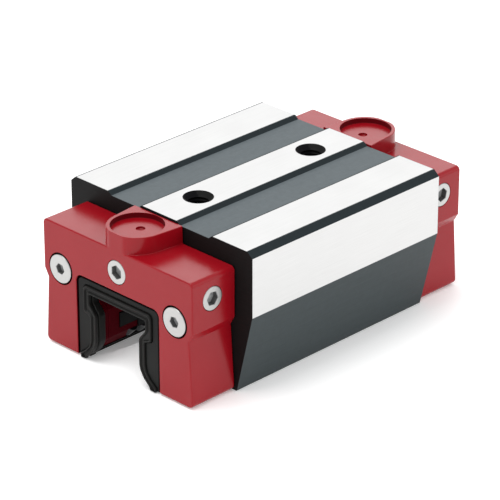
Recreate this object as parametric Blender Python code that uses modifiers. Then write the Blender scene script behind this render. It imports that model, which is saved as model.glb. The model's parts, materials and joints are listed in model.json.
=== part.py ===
"""Linear guide carriage: the steel block that rolls along a profiled rail, with its end plates, wipers,
retainers and four recirculating rows of rollers.

Run with: blender --background --python part.py

Frame: X across the rail, Y along the rail, Z up. The origin is the middle of the steel body's underside.
Every length below is in metres, written as millimetres times MM.
"""

import math

import bmesh
import bpy
from mathutils import Matrix, Vector

MM = 0.001

# Steel body
BODY_LENGTH = 104.0 * MM
BODY_WIDTH = 100.0 * MM
BODY_HEIGHT = 61.0 * MM
EDGE_CHAMFER = (2.6 * MM, 2.2 * MM)      # across, down
SIDE_FACE_BOTTOM = 34.0 * MM             # the ground side face ends here
FOOT_HALF_WIDTH = 41.7 * MM              # the undercut side ends here, at the underside
CENTRE_LAND_HALF = 9.8 * MM
OUTER_LAND_START = 28.5 * MM
GROOVE_DEPTH = 1.4 * MM
GROOVE_SLOPE = 1.7 * MM
TABLE_BOLT_PITCH = 62.4 * MM
TABLE_BOLT_RADIUS = 5.0 * MM
TABLE_BOLT_MOUTH_RADIUS = 6.1 * MM
TABLE_BOLT_MOUTH_DEPTH = 1.3 * MM
TABLE_BOLT_DEPTH = 22.0 * MM
DRILL_TIP_SLOPE = 0.6                    # depth of a drilled hole's point, over its radius
TAPPING_DEPTH = 14.0 * MM                # of the end screws' threaded holes

# Rail channel and rolling elements
ROLLER_RADIUS = 2.75 * MM
ROLLER_LENGTH = 5.2 * MM
ROLLER_PITCH = 6.0 * MM
LOAD_ROLLERS = 15                        # in one row, between the two end plates
FREE_FIRST, FREE_EVERY = 1, 3            # which of them are separate pieces
WEB_HALF = 0.4 * MM                      # the cage web between two joined rollers
CHAIN_FACET = math.radians(51)
BAND_HALF = 1.5 * MM
BAND_THICKNESS = 0.4 * MM
BAND_INSET = 0.15 * MM                   # in from the rollers' ends
RAIL_RACEWAY = (13.9 * MM, 22.85 * MM)   # middle of the rail's upper raceway: x, z
RACEWAY_MID_HEIGHT = 14.0 * MM           # the lower rows mirror the upper ones about this height
RETURN_DISTANCE = 20.0 * MM              # from a loaded row to its return bore
RACEWAY_HALF = 3.0 * MM
CHANNEL_CEILING = 31.5 * MM
CHANNEL_FOOT_HALF = 22.5 * MM
RETURN_BORE_RADIUS = 5.0 * MM

# Strips along the channel: how near each comes to the rail
HEAD_STRIP_X = 16.2 * MM
WAIST_STRIP_X = 12.6 * MM
FOOT_STRIP_X = (16.1 * MM, 17.6 * MM)
SIDE_WIPER_X = (17.9 * MM, 18.7 * MM)
SIDE_WIPER_EDGE = 1.2 * MM
SIDE_WIPER_TOP = 1.7 * MM
TONGUE_X = (12.8 * MM, 14.4 * MM)        # each end of a middle retainer is a tongue in the return guide
TONGUE_HALF_HEIGHT = 3.0 * MM
TONGUE_REACH = 9.5 * MM                  # past the steel body's end

# End plates
END_THICKNESS = 22.45 * MM
END_HALF_WIDTH = 41.3 * MM
END_TOP = 53.1 * MM
END_BOTTOM = 0.5 * MM
END_CORNER = 1.8 * MM
END_STEP = (32.0 * MM, 28.4 * MM)        # the side steps in between these heights
END_WAIST_HALF = 39.2 * MM
END_FOOT_HALF = 41.0 * MM
END_FOOT_CORNER = 1.9 * MM
WIPER_POCKET_HALF = 23.0 * MM
WIPER_POCKET_TOP = 35.4 * MM
WIPER_POCKET_CORNER = 3.0 * MM
WIPER_POCKET_DEPTH = 5.5 * MM
GUIDE_DEPTH = 15.0 * MM
GUIDE_OUTER = 35.2 * MM
GUIDE_HEIGHTS = (1.9 * MM, 26.2 * MM)
GUIDE_FOOT_X = 17.4 * MM
GUIDE_SEAT_INNER = 10.0 * MM

# Lubrication boss on top of each end plate
BOSS_TOP = 60.2 * MM
BOSS_RADIUS = 12.0 * MM
BOSS_FORWARD = 11.35 * MM                # axis of the boss and its recess, back from the plate's outer face
BOSS_BACK_HALF = 13.2 * MM
BOSS_BACK_GAP = 0.5 * MM
BOSS_ROOT = 3.0 * MM                     # how deep the boss is sunk in the plate it is one with
RECESS_RADIUS = 10.5 * MM
RECESS_DEPTH = 2.25 * MM
DIMPLE_FORWARD = 12.95 * MM
DIMPLE_RADIUS = 1.8 * MM
DIMPLE_DEPTH = 1.1 * MM

# Fasteners and lubrication plugs
SCREW_X = 31.7 * MM
SCREW_Z = 34.3 * MM
SCREW_HEAD_RADIUS = 6.1 * MM
SCREW_SHANK_RADIUS = 3.0 * MM
SCREW_HEAD_EDGE = 0.7 * MM
SCREW_HEAD_PROUD = 0.35 * MM
SCREW_SEAT_GAP = 0.35 * MM
SCREW_HOLE_GAP = 0.4 * MM
SCREW_LENGTH = 34.0 * MM
SCREW_KEY = 4.0 * MM                     # across the flats of the hex socket
SCREW_KEY_DEPTH = 2.6 * MM
PLUG_RADIUS = 4.9 * MM
PLUG_LENGTH = 8.0 * MM
PLUG_KEY = 5.0 * MM
PLUG_KEY_DEPTH = 4.0 * MM
PLUG_BORE_DEPTH = 10.0 * MM
PLUG_Z = 43.8 * MM
SIDE_PLUG_FORWARD = 10.6 * MM            # side plug axis, back from the end plate's outer face
GALLERY_RADIUS = 1.5 * MM

# Wiper
LIP_BAND = 3.2 * MM
LIP_PROUD = 0.5 * MM
CARRIER_RECESS = 0.4 * MM

# Gaps
FIT_GAP = 0.3 * MM                       # between pieces that touch on the real carriage
RUN_GAP = 0.1 * MM                       # beside a rolling surface
SPARE = 1.0 * MM                         # how far a cutter reaches past the surface that it cuts

# The turn inside an end plate runs in the plane of the rail's direction and n: out, a quarter turn, across, a
# quarter turn and back. The upper row's turn passes outside the lower row's.
TURN_RADIUS = 4.4 * MM
TURN_HALF = ROLLER_RADIUS + RUN_GAP
TURN_WALL = 0.75 * MM                    # between the two crossing turns
TURN_START = {"lower": FIT_GAP, "upper": FIT_GAP + 2 * TURN_HALF + TURN_WALL}
TURN_ARC_STEPS = 6

ROUND_SIDES = 24
RECESS_SIDES = 32
SMALL_SIDES = 12
GALLERY_SIDES = 8
SHARP_ANGLE = math.radians(35)
FLAT_ANGLE = math.radians(0.1)
ROOT_HALF = math.sqrt(0.5)

# Seam between steel body and end plate, and the end plate's outer face, as distances from the middle
SEAM = BODY_LENGTH / 2
END_BACK = SEAM + FIT_GAP
END_FACE = END_BACK + END_THICKNESS
FOOT_STRIP_END = END_FACE - WIPER_POCKET_DEPTH - FIT_GAP

# The profile that the wiper lip follows, which is the rail's own outline: right half, foot to head
RAIL_OUTLINE = [
    (18.0 * MM, 0.5 * MM),
    (17.5 * MM, 1.4 * MM),
    (14.7 * MM, 3.6 * MM),
    (12.8 * MM, 6.6 * MM),
    (12.1 * MM, 9.0 * MM),
    (12.1 * MM, 20.4 * MM),
    (15.7 * MM, 25.2 * MM),
    (15.7 * MM, 29.0 * MM),
]

# The end plate's own opening behind the wiper, right half, foot to head
RAIL_CLEARANCE = [
    (18.9 * MM, END_BOTTOM),
    (17.9 * MM, 1.6 * MM),
    (13.1 * MM, 8.3 * MM),
    (13.1 * MM, 20.6 * MM),
    (16.7 * MM, 25.2 * MM),
    (16.7 * MM, 30.2 * MM),
]

SIDES = (("left", -1), ("right", 1))
ENDS = (("front", -1), ("rear", 1))
LEVELS = ("upper", "lower")


def clear_scene():
    for obj in list(bpy.data.objects):
        bpy.data.objects.remove(obj, do_unlink=True)


def new_collection(name, hidden=False):
    collection = bpy.data.collections.new(name)
    bpy.context.scene.collection.children.link(collection)
    collection.hide_render = hidden
    return collection


def new_material(name, colour, roughness, metallic):
    material = bpy.data.materials.new(name)
    material.use_nodes = True
    shader = material.node_tree.nodes["Principled BSDF"]
    shader.inputs["Base Color"].default_value = (*colour, 1.0)
    shader.inputs["Roughness"].default_value = roughness
    shader.inputs["Metallic"].default_value = metallic
    return material


# ---------------------------------------------------------------- shapes

def upright_frame(y):
    """Places an outline drawn as (x, z) in the plane at this y; its thickness runs along Y."""
    return Matrix.Translation((0, y, 0)) @ Matrix.Rotation(math.pi / 2, 4, "X")


def flat_frame(z):
    """Places an outline drawn as (x, y) in the level plane at this z."""
    return Matrix.Translation((0, 0, z))


def flat_solid(name, outline, thickness, frame, collection):
    """A flat outline with thickness: a filled 2D curve, extruded half each way."""
    curve = bpy.data.curves.new(name, "CURVE")
    curve.dimensions = "2D"
    curve.fill_mode = "BOTH"
    curve.extrude = thickness / 2
    spline = curve.splines.new("POLY")
    spline.points.add(len(outline) - 1)
    for point, (u, v) in zip(spline.points, outline):
        point.co = (u, v, 0, 1)
    spline.use_cyclic_u = True
    obj = bpy.data.objects.new(name, curve)
    collection.objects.link(obj)
    obj.matrix_world = frame
    return obj


def as_mesh(obj):
    """The curve object made a closed mesh of the same name, with whole flat faces, for cutting."""
    bpy.context.view_layer.update()
    graph = bpy.context.evaluated_depsgraph_get()
    mesh = bpy.data.meshes.new_from_object(obj.evaluated_get(graph))
    work = bmesh.new()
    work.from_mesh(mesh)
    bmesh.ops.remove_doubles(work, verts=work.verts, dist=1e-6)
    bmesh.ops.dissolve_limit(work, angle_limit=FLAT_ANGLE, verts=work.verts, edges=work.edges)
    bmesh.ops.recalc_face_normals(work, faces=work.faces)
    work.to_mesh(mesh)
    work.free()
    name, world, collection = obj.name, obj.matrix_world.copy(), obj.users_collection[0]
    bpy.data.objects.remove(obj)
    solid = bpy.data.objects.new(name, mesh)
    collection.objects.link(solid)
    solid.matrix_world = world
    return solid


def flat_mesh(name, outline, thickness, frame, collection):
    return as_mesh(flat_solid(name, outline, thickness, frame, collection))


def turned(name, profile, frame, collection, sides=ROUND_SIDES):
    """A solid of revolution about the frame's Z. The profile is (radius, height), top to bottom."""
    mesh = bpy.data.meshes.new(name)
    mesh.from_pydata([(r, 0, h) for r, h in profile], [(i, i + 1) for i in range(len(profile) - 1)], [])
    obj = bpy.data.objects.new(name, mesh)
    collection.objects.link(obj)
    obj.matrix_world = frame
    screw = obj.modifiers.new("turn", "SCREW")
    screw.steps = screw.render_steps = sides
    screw.use_smooth_shade = True
    screw.use_merge_vertices = True
    screw.merge_threshold = 1e-6
    return obj


def rod(name, radius, length, frame, collection, sides=ROUND_SIDES, centred=False):
    """A cylinder along the frame's Z, from its origin or centred on it."""
    mesh = bpy.data.meshes.new(name)
    work = bmesh.new()
    bmesh.ops.create_cone(work, cap_ends=True, segments=sides, radius1=radius, radius2=radius, depth=length)
    if not centred:
        bmesh.ops.translate(work, verts=work.verts, vec=(0, 0, length / 2))
    work.to_mesh(mesh)
    work.free()
    mesh.shade_smooth()
    mesh.set_sharp_from_angle(angle=SHARP_ANGLE)
    obj = bpy.data.objects.new(name, mesh)
    collection.objects.link(obj)
    obj.matrix_world = frame
    return obj


def aimed(origin, direction):
    """A frame at origin whose Z points along direction."""
    frame = Vector(direction).to_track_quat("Z", "X").to_matrix().to_4x4()
    frame.translation = Vector(origin)
    return frame


def arc(centre, radius, start, end, steps):
    """Points along an arc; angles are in degrees."""
    return [
        (
            centre[0] + radius * math.cos(math.radians(start + (end - start) * i / steps)),
            centre[1] + radius * math.sin(math.radians(start + (end - start) * i / steps)),
        )
        for i in range(steps + 1)
    ]


def both_halves(right_half):
    """A right half, from its first point on the middle to its last, closed by its mirror image."""
    return right_half + [(-x, z) for x, z in reversed(right_half)]


def offset_open(points, distance):
    """The open outline moved sideways, to the right of its direction of travel, with mitred corners."""
    moved = []
    for i, point in enumerate(points):
        here = Vector(point)
        before = (here - Vector(points[i - 1])).normalized() if i else None
        after = (Vector(points[i + 1]) - here).normalized() if i < len(points) - 1 else None
        before = before or after
        after = after or before
        normal_before = Vector((before.y, -before.x))
        normal_after = Vector((after.y, -after.x))
        mitre = (normal_before + normal_after).normalized()
        moved.append(tuple(here + mitre * (distance / mitre.dot(normal_before))))
    return moved


# ---------------------------------------------------------------- cutting

def cut(target, cutter):
    cutter.hide_render = True
    cutter.display_type = "WIRE"
    boolean = target.modifiers.new("cut_" + cutter.name, "BOOLEAN")
    boolean.operation = "DIFFERENCE"
    boolean.object = cutter


def join(target, addition, solver="EXACT"):
    """Makes the addition one with the target. MANIFOLD suits round sides that meet the target's."""
    addition.hide_render = True
    addition.display_type = "WIRE"
    boolean = target.modifiers.new("join_" + addition.name, "BOOLEAN")
    boolean.operation = "UNION"
    boolean.solver = solver
    boolean.object = addition


# ---------------------------------------------------------------- rows of rollers

def row_geometry(level, side):
    """(centre, n, axis) of a loaded row in the XZ plane: its roller centre, the way from the rail to the
    body's raceway, and the roller's own axis."""
    up = 1 if level == "upper" else -1
    n = Vector((side * ROOT_HALF, 0, -up * ROOT_HALF))
    axis = Vector((side * ROOT_HALF, 0, up * ROOT_HALF))
    rail_x, rail_z = RAIL_RACEWAY
    height = rail_z if level == "upper" else 2 * RACEWAY_MID_HEIGHT - rail_z
    centre = Vector((side * rail_x, 0, height)) + n * ROLLER_RADIUS
    return centre, n, axis


def return_centre(level, side):
    centre, n, _ = row_geometry(level, side)
    return centre + n * RETURN_DISTANCE


def row_frame(level, side, end=1, y=0.0):
    """Local X runs along the rail, outwards at that end, local Y along n, and local Z along the rollers."""
    centre, n, _ = row_geometry(level, side)
    along = Vector((0, end, 0))
    frame = Matrix((along, n, along.cross(n))).transposed().to_4x4()
    frame.translation = centre + Vector((0, y, 0))
    return frame


def chain_outline(centres):
    """Rollers in a row, seen along their axes and joined by thin webs, as one closed outline. The route goes
    down the row and back, and walks round the right-hand side of each roller that it passes."""
    points = [Vector(c) for c in centres]
    route = points + points[-2:0:-1]
    opening = math.asin(WEB_HALF / ROLLER_RADIUS)
    outline = []
    for i, point in enumerate(route):
        arriving = route[i - 1] - point
        leaving = route[(i + 1) % len(route)] - point
        start = math.atan2(arriving.y, arriving.x) + opening
        sweep = (math.atan2(leaving.y, leaving.x) - opening - start) % (2 * math.pi)
        steps = max(1, round(sweep / CHAIN_FACET))
        outline += arc(point, ROLLER_RADIUS, math.degrees(start), math.degrees(start + sweep), steps)
    return outline


def load_place(i):
    """Where loaded roller i stands along the row."""
    return ROLLER_PITCH * (i - (LOAD_ROLLERS - 1) / 2)


def turn_side(level, offset):
    """One side of the turn's band, offset from its centreline, from the loaded row to the return row."""
    start, far = TURN_START[level], RETURN_DISTANCE - TURN_RADIUS
    radius = TURN_RADIUS + offset
    return [
        (-SPARE, -offset),
        *arc((start, TURN_RADIUS), radius, -90, 0, TURN_ARC_STEPS),
        *arc((start, far), radius, 0, 90, TURN_ARC_STEPS),
        (-SPARE, RETURN_DISTANCE + offset),
    ]


def loop_centres(level):
    """Roller centres, evenly spaced, from the row's last loaded roller, round one turn, down the return tube
    and round the other turn to its first loaded roller."""
    first = load_place(LOAD_ROLLERS - 1)
    corner = END_BACK + TURN_START[level]
    quarter = math.pi / 2 * TURN_RADIUS
    straight, across = corner - first, RETURN_DISTANCE - 2 * TURN_RADIUS
    half = straight + 2 * quarter + across + corner

    def at(distance):
        """The centreline from the last loaded roller to the middle of the return tube."""
        if distance < straight:
            return first + distance, 0.0
        distance -= straight
        if distance < quarter:
            angle = distance / TURN_RADIUS
            return corner + TURN_RADIUS * math.sin(angle), TURN_RADIUS * (1 - math.cos(angle))
        distance -= quarter
        if distance < across:
            return corner + TURN_RADIUS, TURN_RADIUS + distance
        distance -= across
        if distance < quarter:
            angle = distance / TURN_RADIUS
            out = RETURN_DISTANCE - TURN_RADIUS * (1 - math.sin(angle))
            return corner + TURN_RADIUS * math.cos(angle), out
        return corner - (distance - quarter), RETURN_DISTANCE

    gaps = int(2 * half / ROLLER_PITCH)
    centres = []
    for i in range(gaps + 1):
        distance = 2 * half * i / gaps
        if distance <= half:
            centres.append(at(distance))
        else:
            along, out = at(2 * half - distance)
            centres.append((-along, out))
    return centres


# ---------------------------------------------------------------- pieces

def body_outline():
    upper, n, axis = row_geometry("upper", 1)
    raceway = upper + n * (ROLLER_RADIUS + RUN_GAP)
    inner, outer = raceway - axis * RACEWAY_HALF, raceway + axis * RACEWAY_HALF
    mirror = 2 * RACEWAY_MID_HEIGHT
    half_width = BODY_WIDTH / 2
    return both_halves([
        (CENTRE_LAND_HALF, BODY_HEIGHT),
        (CENTRE_LAND_HALF + GROOVE_SLOPE, BODY_HEIGHT - GROOVE_DEPTH),
        (OUTER_LAND_START - GROOVE_SLOPE, BODY_HEIGHT - GROOVE_DEPTH),
        (OUTER_LAND_START, BODY_HEIGHT),
        (half_width - EDGE_CHAMFER[0], BODY_HEIGHT),
        (half_width, BODY_HEIGHT - EDGE_CHAMFER[1]),
        (half_width, SIDE_FACE_BOTTOM),
        (FOOT_HALF_WIDTH, 0),
        (CHANNEL_FOOT_HALF, 0),
        (CHANNEL_FOOT_HALF, mirror - outer.z),
        (outer.x, mirror - outer.z),
        (inner.x, mirror - inner.z),
        (inner.x, inner.z),
        (outer.x, outer.z),
        (outer.x, CHANNEL_CEILING),
    ])


def make_body(parts, cutters):
    body = flat_mesh("carriage_body", body_outline(), BODY_LENGTH, upright_frame(0), parts)
    for level in LEVELS:
        for side_name, side in SIDES:
            centre = return_centre(level, side)
            start = (centre.x, -SEAM - SPARE, centre.z)
            cut(body, rod(f"bore_{level}_{side_name}", RETURN_BORE_RADIUS, BODY_LENGTH + 2 * SPARE,
                          aimed(start, (0, 1, 0)), cutters))
    for end_name, end in ENDS:
        for side_name, side in SIDES:
            start = aimed((side * SCREW_X, end * (SEAM + SPARE), SCREW_Z), (0, -end, 0))
            cut(body, rod(f"tapping_{end_name}_{side_name}", SCREW_SHANK_RADIUS + FIT_GAP,
                          TAPPING_DEPTH + SPARE, start, cutters))
        flare = (TABLE_BOLT_MOUTH_RADIUS - TABLE_BOLT_RADIUS) / TABLE_BOLT_MOUTH_DEPTH
        mouth = [
            (0, SPARE),
            (TABLE_BOLT_MOUTH_RADIUS + flare * SPARE, SPARE),
            (TABLE_BOLT_RADIUS, -TABLE_BOLT_MOUTH_DEPTH),
            (TABLE_BOLT_RADIUS, -TABLE_BOLT_DEPTH),
            (0, -TABLE_BOLT_DEPTH - DRILL_TIP_SLOPE * TABLE_BOLT_RADIUS),
        ]
        top = Matrix.Translation((0, end * TABLE_BOLT_PITCH / 2, BODY_HEIGHT))
        cut(body, turned(f"table_bolt_{end_name}", mouth, top, cutters))
    return body


def tongue_outline(side, inner, gap=0.0):
    """The section of a middle retainer's tongue from inner outwards, or of the notch that it lies in."""
    outer, half = TONGUE_X[1] + gap, TONGUE_HALF_HEIGHT + gap
    low, high = RACEWAY_MID_HEIGHT - half, RACEWAY_MID_HEIGHT + half
    return [(side * x, z) for x, z in ((inner, low), (outer, low), (outer, high), (inner, high))]


def foot_notch_outline(side):
    """What the lower retainer and the side wiper take out of a return guide or an end plate."""
    centre, n, axis = row_geometry("upper", 1)
    mirror = 2 * RACEWAY_MID_HEIGHT
    top = mirror - (centre + n * (ROLLER_RADIUS + RUN_GAP) + axis * RACEWAY_HALF).z
    lean = centre.x + centre.z - mirror + math.sqrt(2) * ROLLER_LENGTH / 2
    inner, bottom = FOOT_STRIP_X[0] - 2 * FIT_GAP, END_BOTTOM - SPARE
    corners = [
        (top + lean, top),
        (inner, inner - lean),
        (inner, bottom),
        (CHANNEL_FOOT_HALF, bottom),
        (CHANNEL_FOOT_HALF, top),
    ]
    return [(side * x, z) for x, z in corners]


def make_retainers(parts, cutters):
    """Plastic strips along the channel that keep the rollers in when the carriage is off its rail. The lowest
    two run on through the end plates to the wipers."""
    centre, n, axis = row_geometry("upper", 1)
    reach = centre.x + centre.z
    end_face = math.sqrt(2) * (ROLLER_LENGTH / 2 + FIT_GAP)
    mirror = 2 * RACEWAY_MID_HEIGHT
    raceway = centre + n * (ROLLER_RADIUS + RUN_GAP)
    wall = (raceway + axis * RACEWAY_HALF).x - FIT_GAP
    nose = (raceway - axis * RACEWAY_HALF).x - FIT_GAP
    ledge = mirror - (raceway + axis * RACEWAY_HALF).z - FIT_GAP
    ceiling = CHANNEL_CEILING - FIT_GAP
    foot_wall = CHANNEL_FOOT_HALF - FIT_GAP
    foot_inner, foot_outer = FOOT_STRIP_X
    wiper_inner, wiper_outer = SIDE_WIPER_X
    strips = {
        "upper_retainer": [
            (wall, reach + end_face - wall),
            (HEAD_STRIP_X, reach + end_face - HEAD_STRIP_X),
            (HEAD_STRIP_X, ceiling),
            (wall, ceiling),
        ],
        "middle_retainer": [
            (nose, reach - end_face - nose),
            (WAIST_STRIP_X, reach - end_face - WAIST_STRIP_X),
            (WAIST_STRIP_X, mirror - reach + end_face + WAIST_STRIP_X),
            (nose, mirror - reach + end_face + nose),
        ],
        "lower_retainer": [
            (ledge + reach + end_face - mirror, ledge),
            (foot_inner, foot_inner - reach - end_face + mirror),
            (foot_outer, SIDE_WIPER_TOP + FIT_GAP),
            (foot_wall, SIDE_WIPER_TOP + FIT_GAP),
            (foot_wall, ledge),
        ],
        "side_wiper": [
            (wiper_inner, SIDE_WIPER_EDGE),
            (wiper_outer, END_BOTTOM),
            (foot_wall, END_BOTTOM),
            (foot_wall, SIDE_WIPER_TOP),
            (wiper_outer, SIDE_WIPER_TOP),
        ],
    }
    made = []
    for name, outline in strips.items():
        length = 2 * FOOT_STRIP_END if name in ("lower_retainer", "side_wiper") else BODY_LENGTH - FIT_GAP
        for side_name, side in SIDES:
            mirrored = [(side * x, z) for x, z in outline]
            strip = flat_mesh(f"{name}_{side_name}", mirrored, length, upright_frame(0), parts)
            if name == "middle_retainer":
                join(strip, flat_mesh(f"tongues_{side_name}", tongue_outline(side, TONGUE_X[0]),
                                      2 * (SEAM + TONGUE_REACH), upright_frame(0), cutters))
            made.append(strip)
    return made


def make_return_tube(level, side_name, side, parts, cutters):
    centre = return_centre(level, side)
    length = BODY_LENGTH - FIT_GAP
    tube = rod(f"return_tube_{level}_{side_name}", RETURN_BORE_RADIUS - FIT_GAP, length,
               aimed((centre.x, -length / 2, centre.z), (0, 1, 0)), parts)
    across, long_way = TURN_HALF, ROLLER_LENGTH / 2 + RUN_GAP
    passage = [(-length, -across), (length, -across), (length, across), (-length, across)]
    frame = row_frame(level, side)
    frame.translation = centre
    cut(tube, flat_mesh(f"passage_{level}_{side_name}", passage, 2 * long_way, frame, cutters))
    return tube


def guide_outline(side, grow=0.0):
    low, high = GUIDE_HEIGHTS
    _, _, foot, waist, shoulder, head = RAIL_CLEARANCE
    points = [
        (GUIDE_FOOT_X, low - grow),
        foot,
        waist,
        shoulder,
        (head[0], high + grow),
        (GUIDE_OUTER + grow, high + grow),
        (GUIDE_OUTER + grow, low - grow),
    ]
    return [(side * x, z) for x, z in points]


def make_return_guide(end_name, end, side_name, side, parts, cutters):
    """The block behind an end plate whose two crossing channels turn the rollers round."""
    name = f"{end_name}_return_guide_{side_name}"
    frame = upright_frame(end * (END_BACK + GUIDE_DEPTH / 2))
    guide = flat_mesh(name, guide_outline(side), GUIDE_DEPTH, frame, parts)
    for level in LEVELS:
        band = turn_side(level, TURN_HALF) + list(reversed(turn_side(level, -TURN_HALF)))
        channel = flat_mesh(f"turn_{level}_{end_name}_{side_name}", band, ROLLER_LENGTH + 2 * RUN_GAP,
                            row_frame(level, side, end, end * END_BACK), cutters)
        cut(guide, channel)
    depth = TONGUE_REACH + SPARE
    tongue = tongue_outline(side, TONGUE_X[0] - SPARE, FIT_GAP)
    cut(guide, flat_mesh(f"tongue_notch_{end_name}_{side_name}", tongue, depth,
                         upright_frame(end * (END_BACK - SPARE + depth / 2)), cutters))
    cut(guide, flat_mesh(f"guide_foot_notch_{end_name}_{side_name}", foot_notch_outline(side),
                         GUIDE_DEPTH + 2 * SPARE, frame, cutters))
    return guide


def end_outline():
    step_top, step_bottom = END_STEP
    middle = 1 - ROOT_HALF               # where a round corner's middle lies, over its radius
    return both_halves([
        (END_HALF_WIDTH - END_CORNER, END_TOP),
        (END_HALF_WIDTH - END_CORNER * middle, END_TOP - END_CORNER * middle),
        (END_HALF_WIDTH, END_TOP - END_CORNER),
        (END_HALF_WIDTH, step_top),
        (END_WAIST_HALF, step_bottom),
        (END_FOOT_HALF, END_BOTTOM + END_FOOT_CORNER),
        (END_FOOT_HALF - END_FOOT_CORNER * middle, END_BOTTOM + END_FOOT_CORNER * middle),
        (END_FOOT_HALF - END_FOOT_CORNER, END_BOTTOM),
        *RAIL_CLEARANCE,
    ])


def pocket_outline(shrink=0.0, bottom=0.0):
    """The wiper's seat in the end plate's face: straight sides, round upper corners, open below."""
    half, top = WIPER_POCKET_HALF - shrink, WIPER_POCKET_TOP - shrink
    radius = WIPER_POCKET_CORNER - shrink
    corner = arc((half - radius, top - radius), radius, 0, 90, 4)
    right = [(half, bottom), *corner]
    return right + [(-x, z) for x, z in reversed(right)]


def boss_outline(end):
    """The boss from above: a round front cut off flush with the end plate's face, and splayed sides."""
    centre_y = END_FACE - BOSS_FORWARD
    back_y = SEAM + BOSS_BACK_GAP
    reach = centre_y - back_y
    tangent = math.acos(BOSS_RADIUS / math.hypot(BOSS_BACK_HALF, reach))
    start = math.degrees(math.atan2(-reach, BOSS_BACK_HALF) + tangent)
    face = math.degrees(math.asin(BOSS_FORWARD / BOSS_RADIUS))
    right = [(BOSS_BACK_HALF, back_y), *arc((0, centre_y), BOSS_RADIUS, start, face, 8)]
    return [(x, end * y) for x, y in right + [(-x, y) for x, y in reversed(right)]]


def make_end_plate(end_name, end, parts, cutters):
    middle = end * (END_BACK + END_THICKNESS / 2)
    plate = flat_mesh(f"{end_name}_end_plate", end_outline(), END_THICKNESS, upright_frame(middle), parts)

    # The boss, its recess and the dimple that a drill starts in when the top port is opened
    base = END_TOP - BOSS_ROOT
    height = BOSS_TOP - base
    middle = flat_frame(base + height / 2)
    join(plate, flat_mesh(f"boss_{end_name}", boss_outline(end), height, middle, cutters))
    floor = Matrix.Translation((0, end * (END_FACE - BOSS_FORWARD), BOSS_TOP - RECESS_DEPTH))
    cut(plate, rod(f"recess_{end_name}", RECESS_RADIUS, RECESS_DEPTH + SPARE, floor, cutters, RECESS_SIDES))
    dimple = [(0, SPARE), (DIMPLE_RADIUS * (1 + SPARE / DIMPLE_DEPTH), SPARE), (0, -DIMPLE_DEPTH)]
    place = Matrix.Translation((0, end * (END_FACE - DIMPLE_FORWARD), BOSS_TOP - RECESS_DEPTH))
    cut(plate, turned(f"dimple_{end_name}", dimple, place, cutters, SMALL_SIDES))

    # Seat for the wiper in front, and for the two return guides behind
    depth = WIPER_POCKET_DEPTH + SPARE
    seat = upright_frame(end * (END_FACE + SPARE - depth / 2))
    cut(plate, flat_mesh(f"wiper_seat_{end_name}", pocket_outline(bottom=-SPARE), depth, seat, cutters))
    for side_name, side in SIDES:
        depth = GUIDE_DEPTH + FIT_GAP + SPARE
        seat = upright_frame(end * (END_BACK - SPARE + depth / 2))
        low, high = GUIDE_HEIGHTS[0] - FIT_GAP, GUIDE_HEIGHTS[1] + FIT_GAP
        outer = GUIDE_OUTER + FIT_GAP
        pocket = [(GUIDE_SEAT_INNER, low), (GUIDE_SEAT_INNER, high), (outer, high), (outer, low)]
        pocket = [(side * x, z) for x, z in pocket]
        cut(plate, flat_mesh(f"guide_seat_{end_name}_{side_name}", pocket, depth, seat, cutters))
        cut(plate, flat_mesh(f"foot_notch_{end_name}_{side_name}", foot_notch_outline(side),
                             END_THICKNESS - WIPER_POCKET_DEPTH + 2 * SPARE,
                             upright_frame(end * (END_FACE + END_BACK - WIPER_POCKET_DEPTH) / 2), cutters))

        # Countersunk hole for the screw, and the side lubrication port
        axis = aimed((side * SCREW_X, end * END_FACE, SCREW_Z), (0, end, 0))
        seat_radius = SCREW_HEAD_RADIUS + SCREW_SEAT_GAP
        shank_radius = SCREW_SHANK_RADIUS + SCREW_HOLE_GAP
        countersink = [
            (0, SPARE),
            (seat_radius, SPARE),
            (seat_radius, -SCREW_HEAD_EDGE),
            (shank_radius, -SCREW_HEAD_EDGE - (seat_radius - shank_radius)),
            (shank_radius, -END_THICKNESS - SPARE),
            (0, -END_THICKNESS - SPARE),
        ]
        cut(plate, turned(f"screw_hole_{end_name}_{side_name}", countersink, axis, cutters))
        port = (side * (END_HALF_WIDTH + SPARE), end * (END_FACE - SIDE_PLUG_FORWARD), PLUG_Z)
        cut(plate, rod(f"side_port_{end_name}_{side_name}", PLUG_RADIUS + FIT_GAP / 2,
                       PLUG_BORE_DEPTH + SPARE, aimed(port, (-side, 0, 0)), cutters))

    # Front port, and the grease gallery that joins the three ports
    port = (0, end * (END_FACE + SPARE), PLUG_Z)
    cut(plate, rod(f"front_port_{end_name}", PLUG_RADIUS + FIT_GAP / 2, PLUG_BORE_DEPTH + SPARE,
                   aimed(port, (0, -end, 0)), cutters))
    reach = END_HALF_WIDTH - PLUG_BORE_DEPTH + SPARE
    gallery = aimed((-reach, end * (END_FACE - SIDE_PLUG_FORWARD), PLUG_Z), (1, 0, 0))
    cut(plate, rod(f"gallery_{end_name}", GALLERY_RADIUS, 2 * reach, gallery, cutters, GALLERY_SIDES))
    return plate


def hex_socket(name, key, depth, frame, collection):
    """A hexagonal prism from above the frame's origin down to depth, to cut a socket with."""
    top = frame @ Matrix.Translation((0, 0, SPARE)) @ Matrix.Rotation(math.pi, 4, "X")
    return rod(name, key / math.sqrt(3), depth + SPARE, top, collection, 6)


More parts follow.
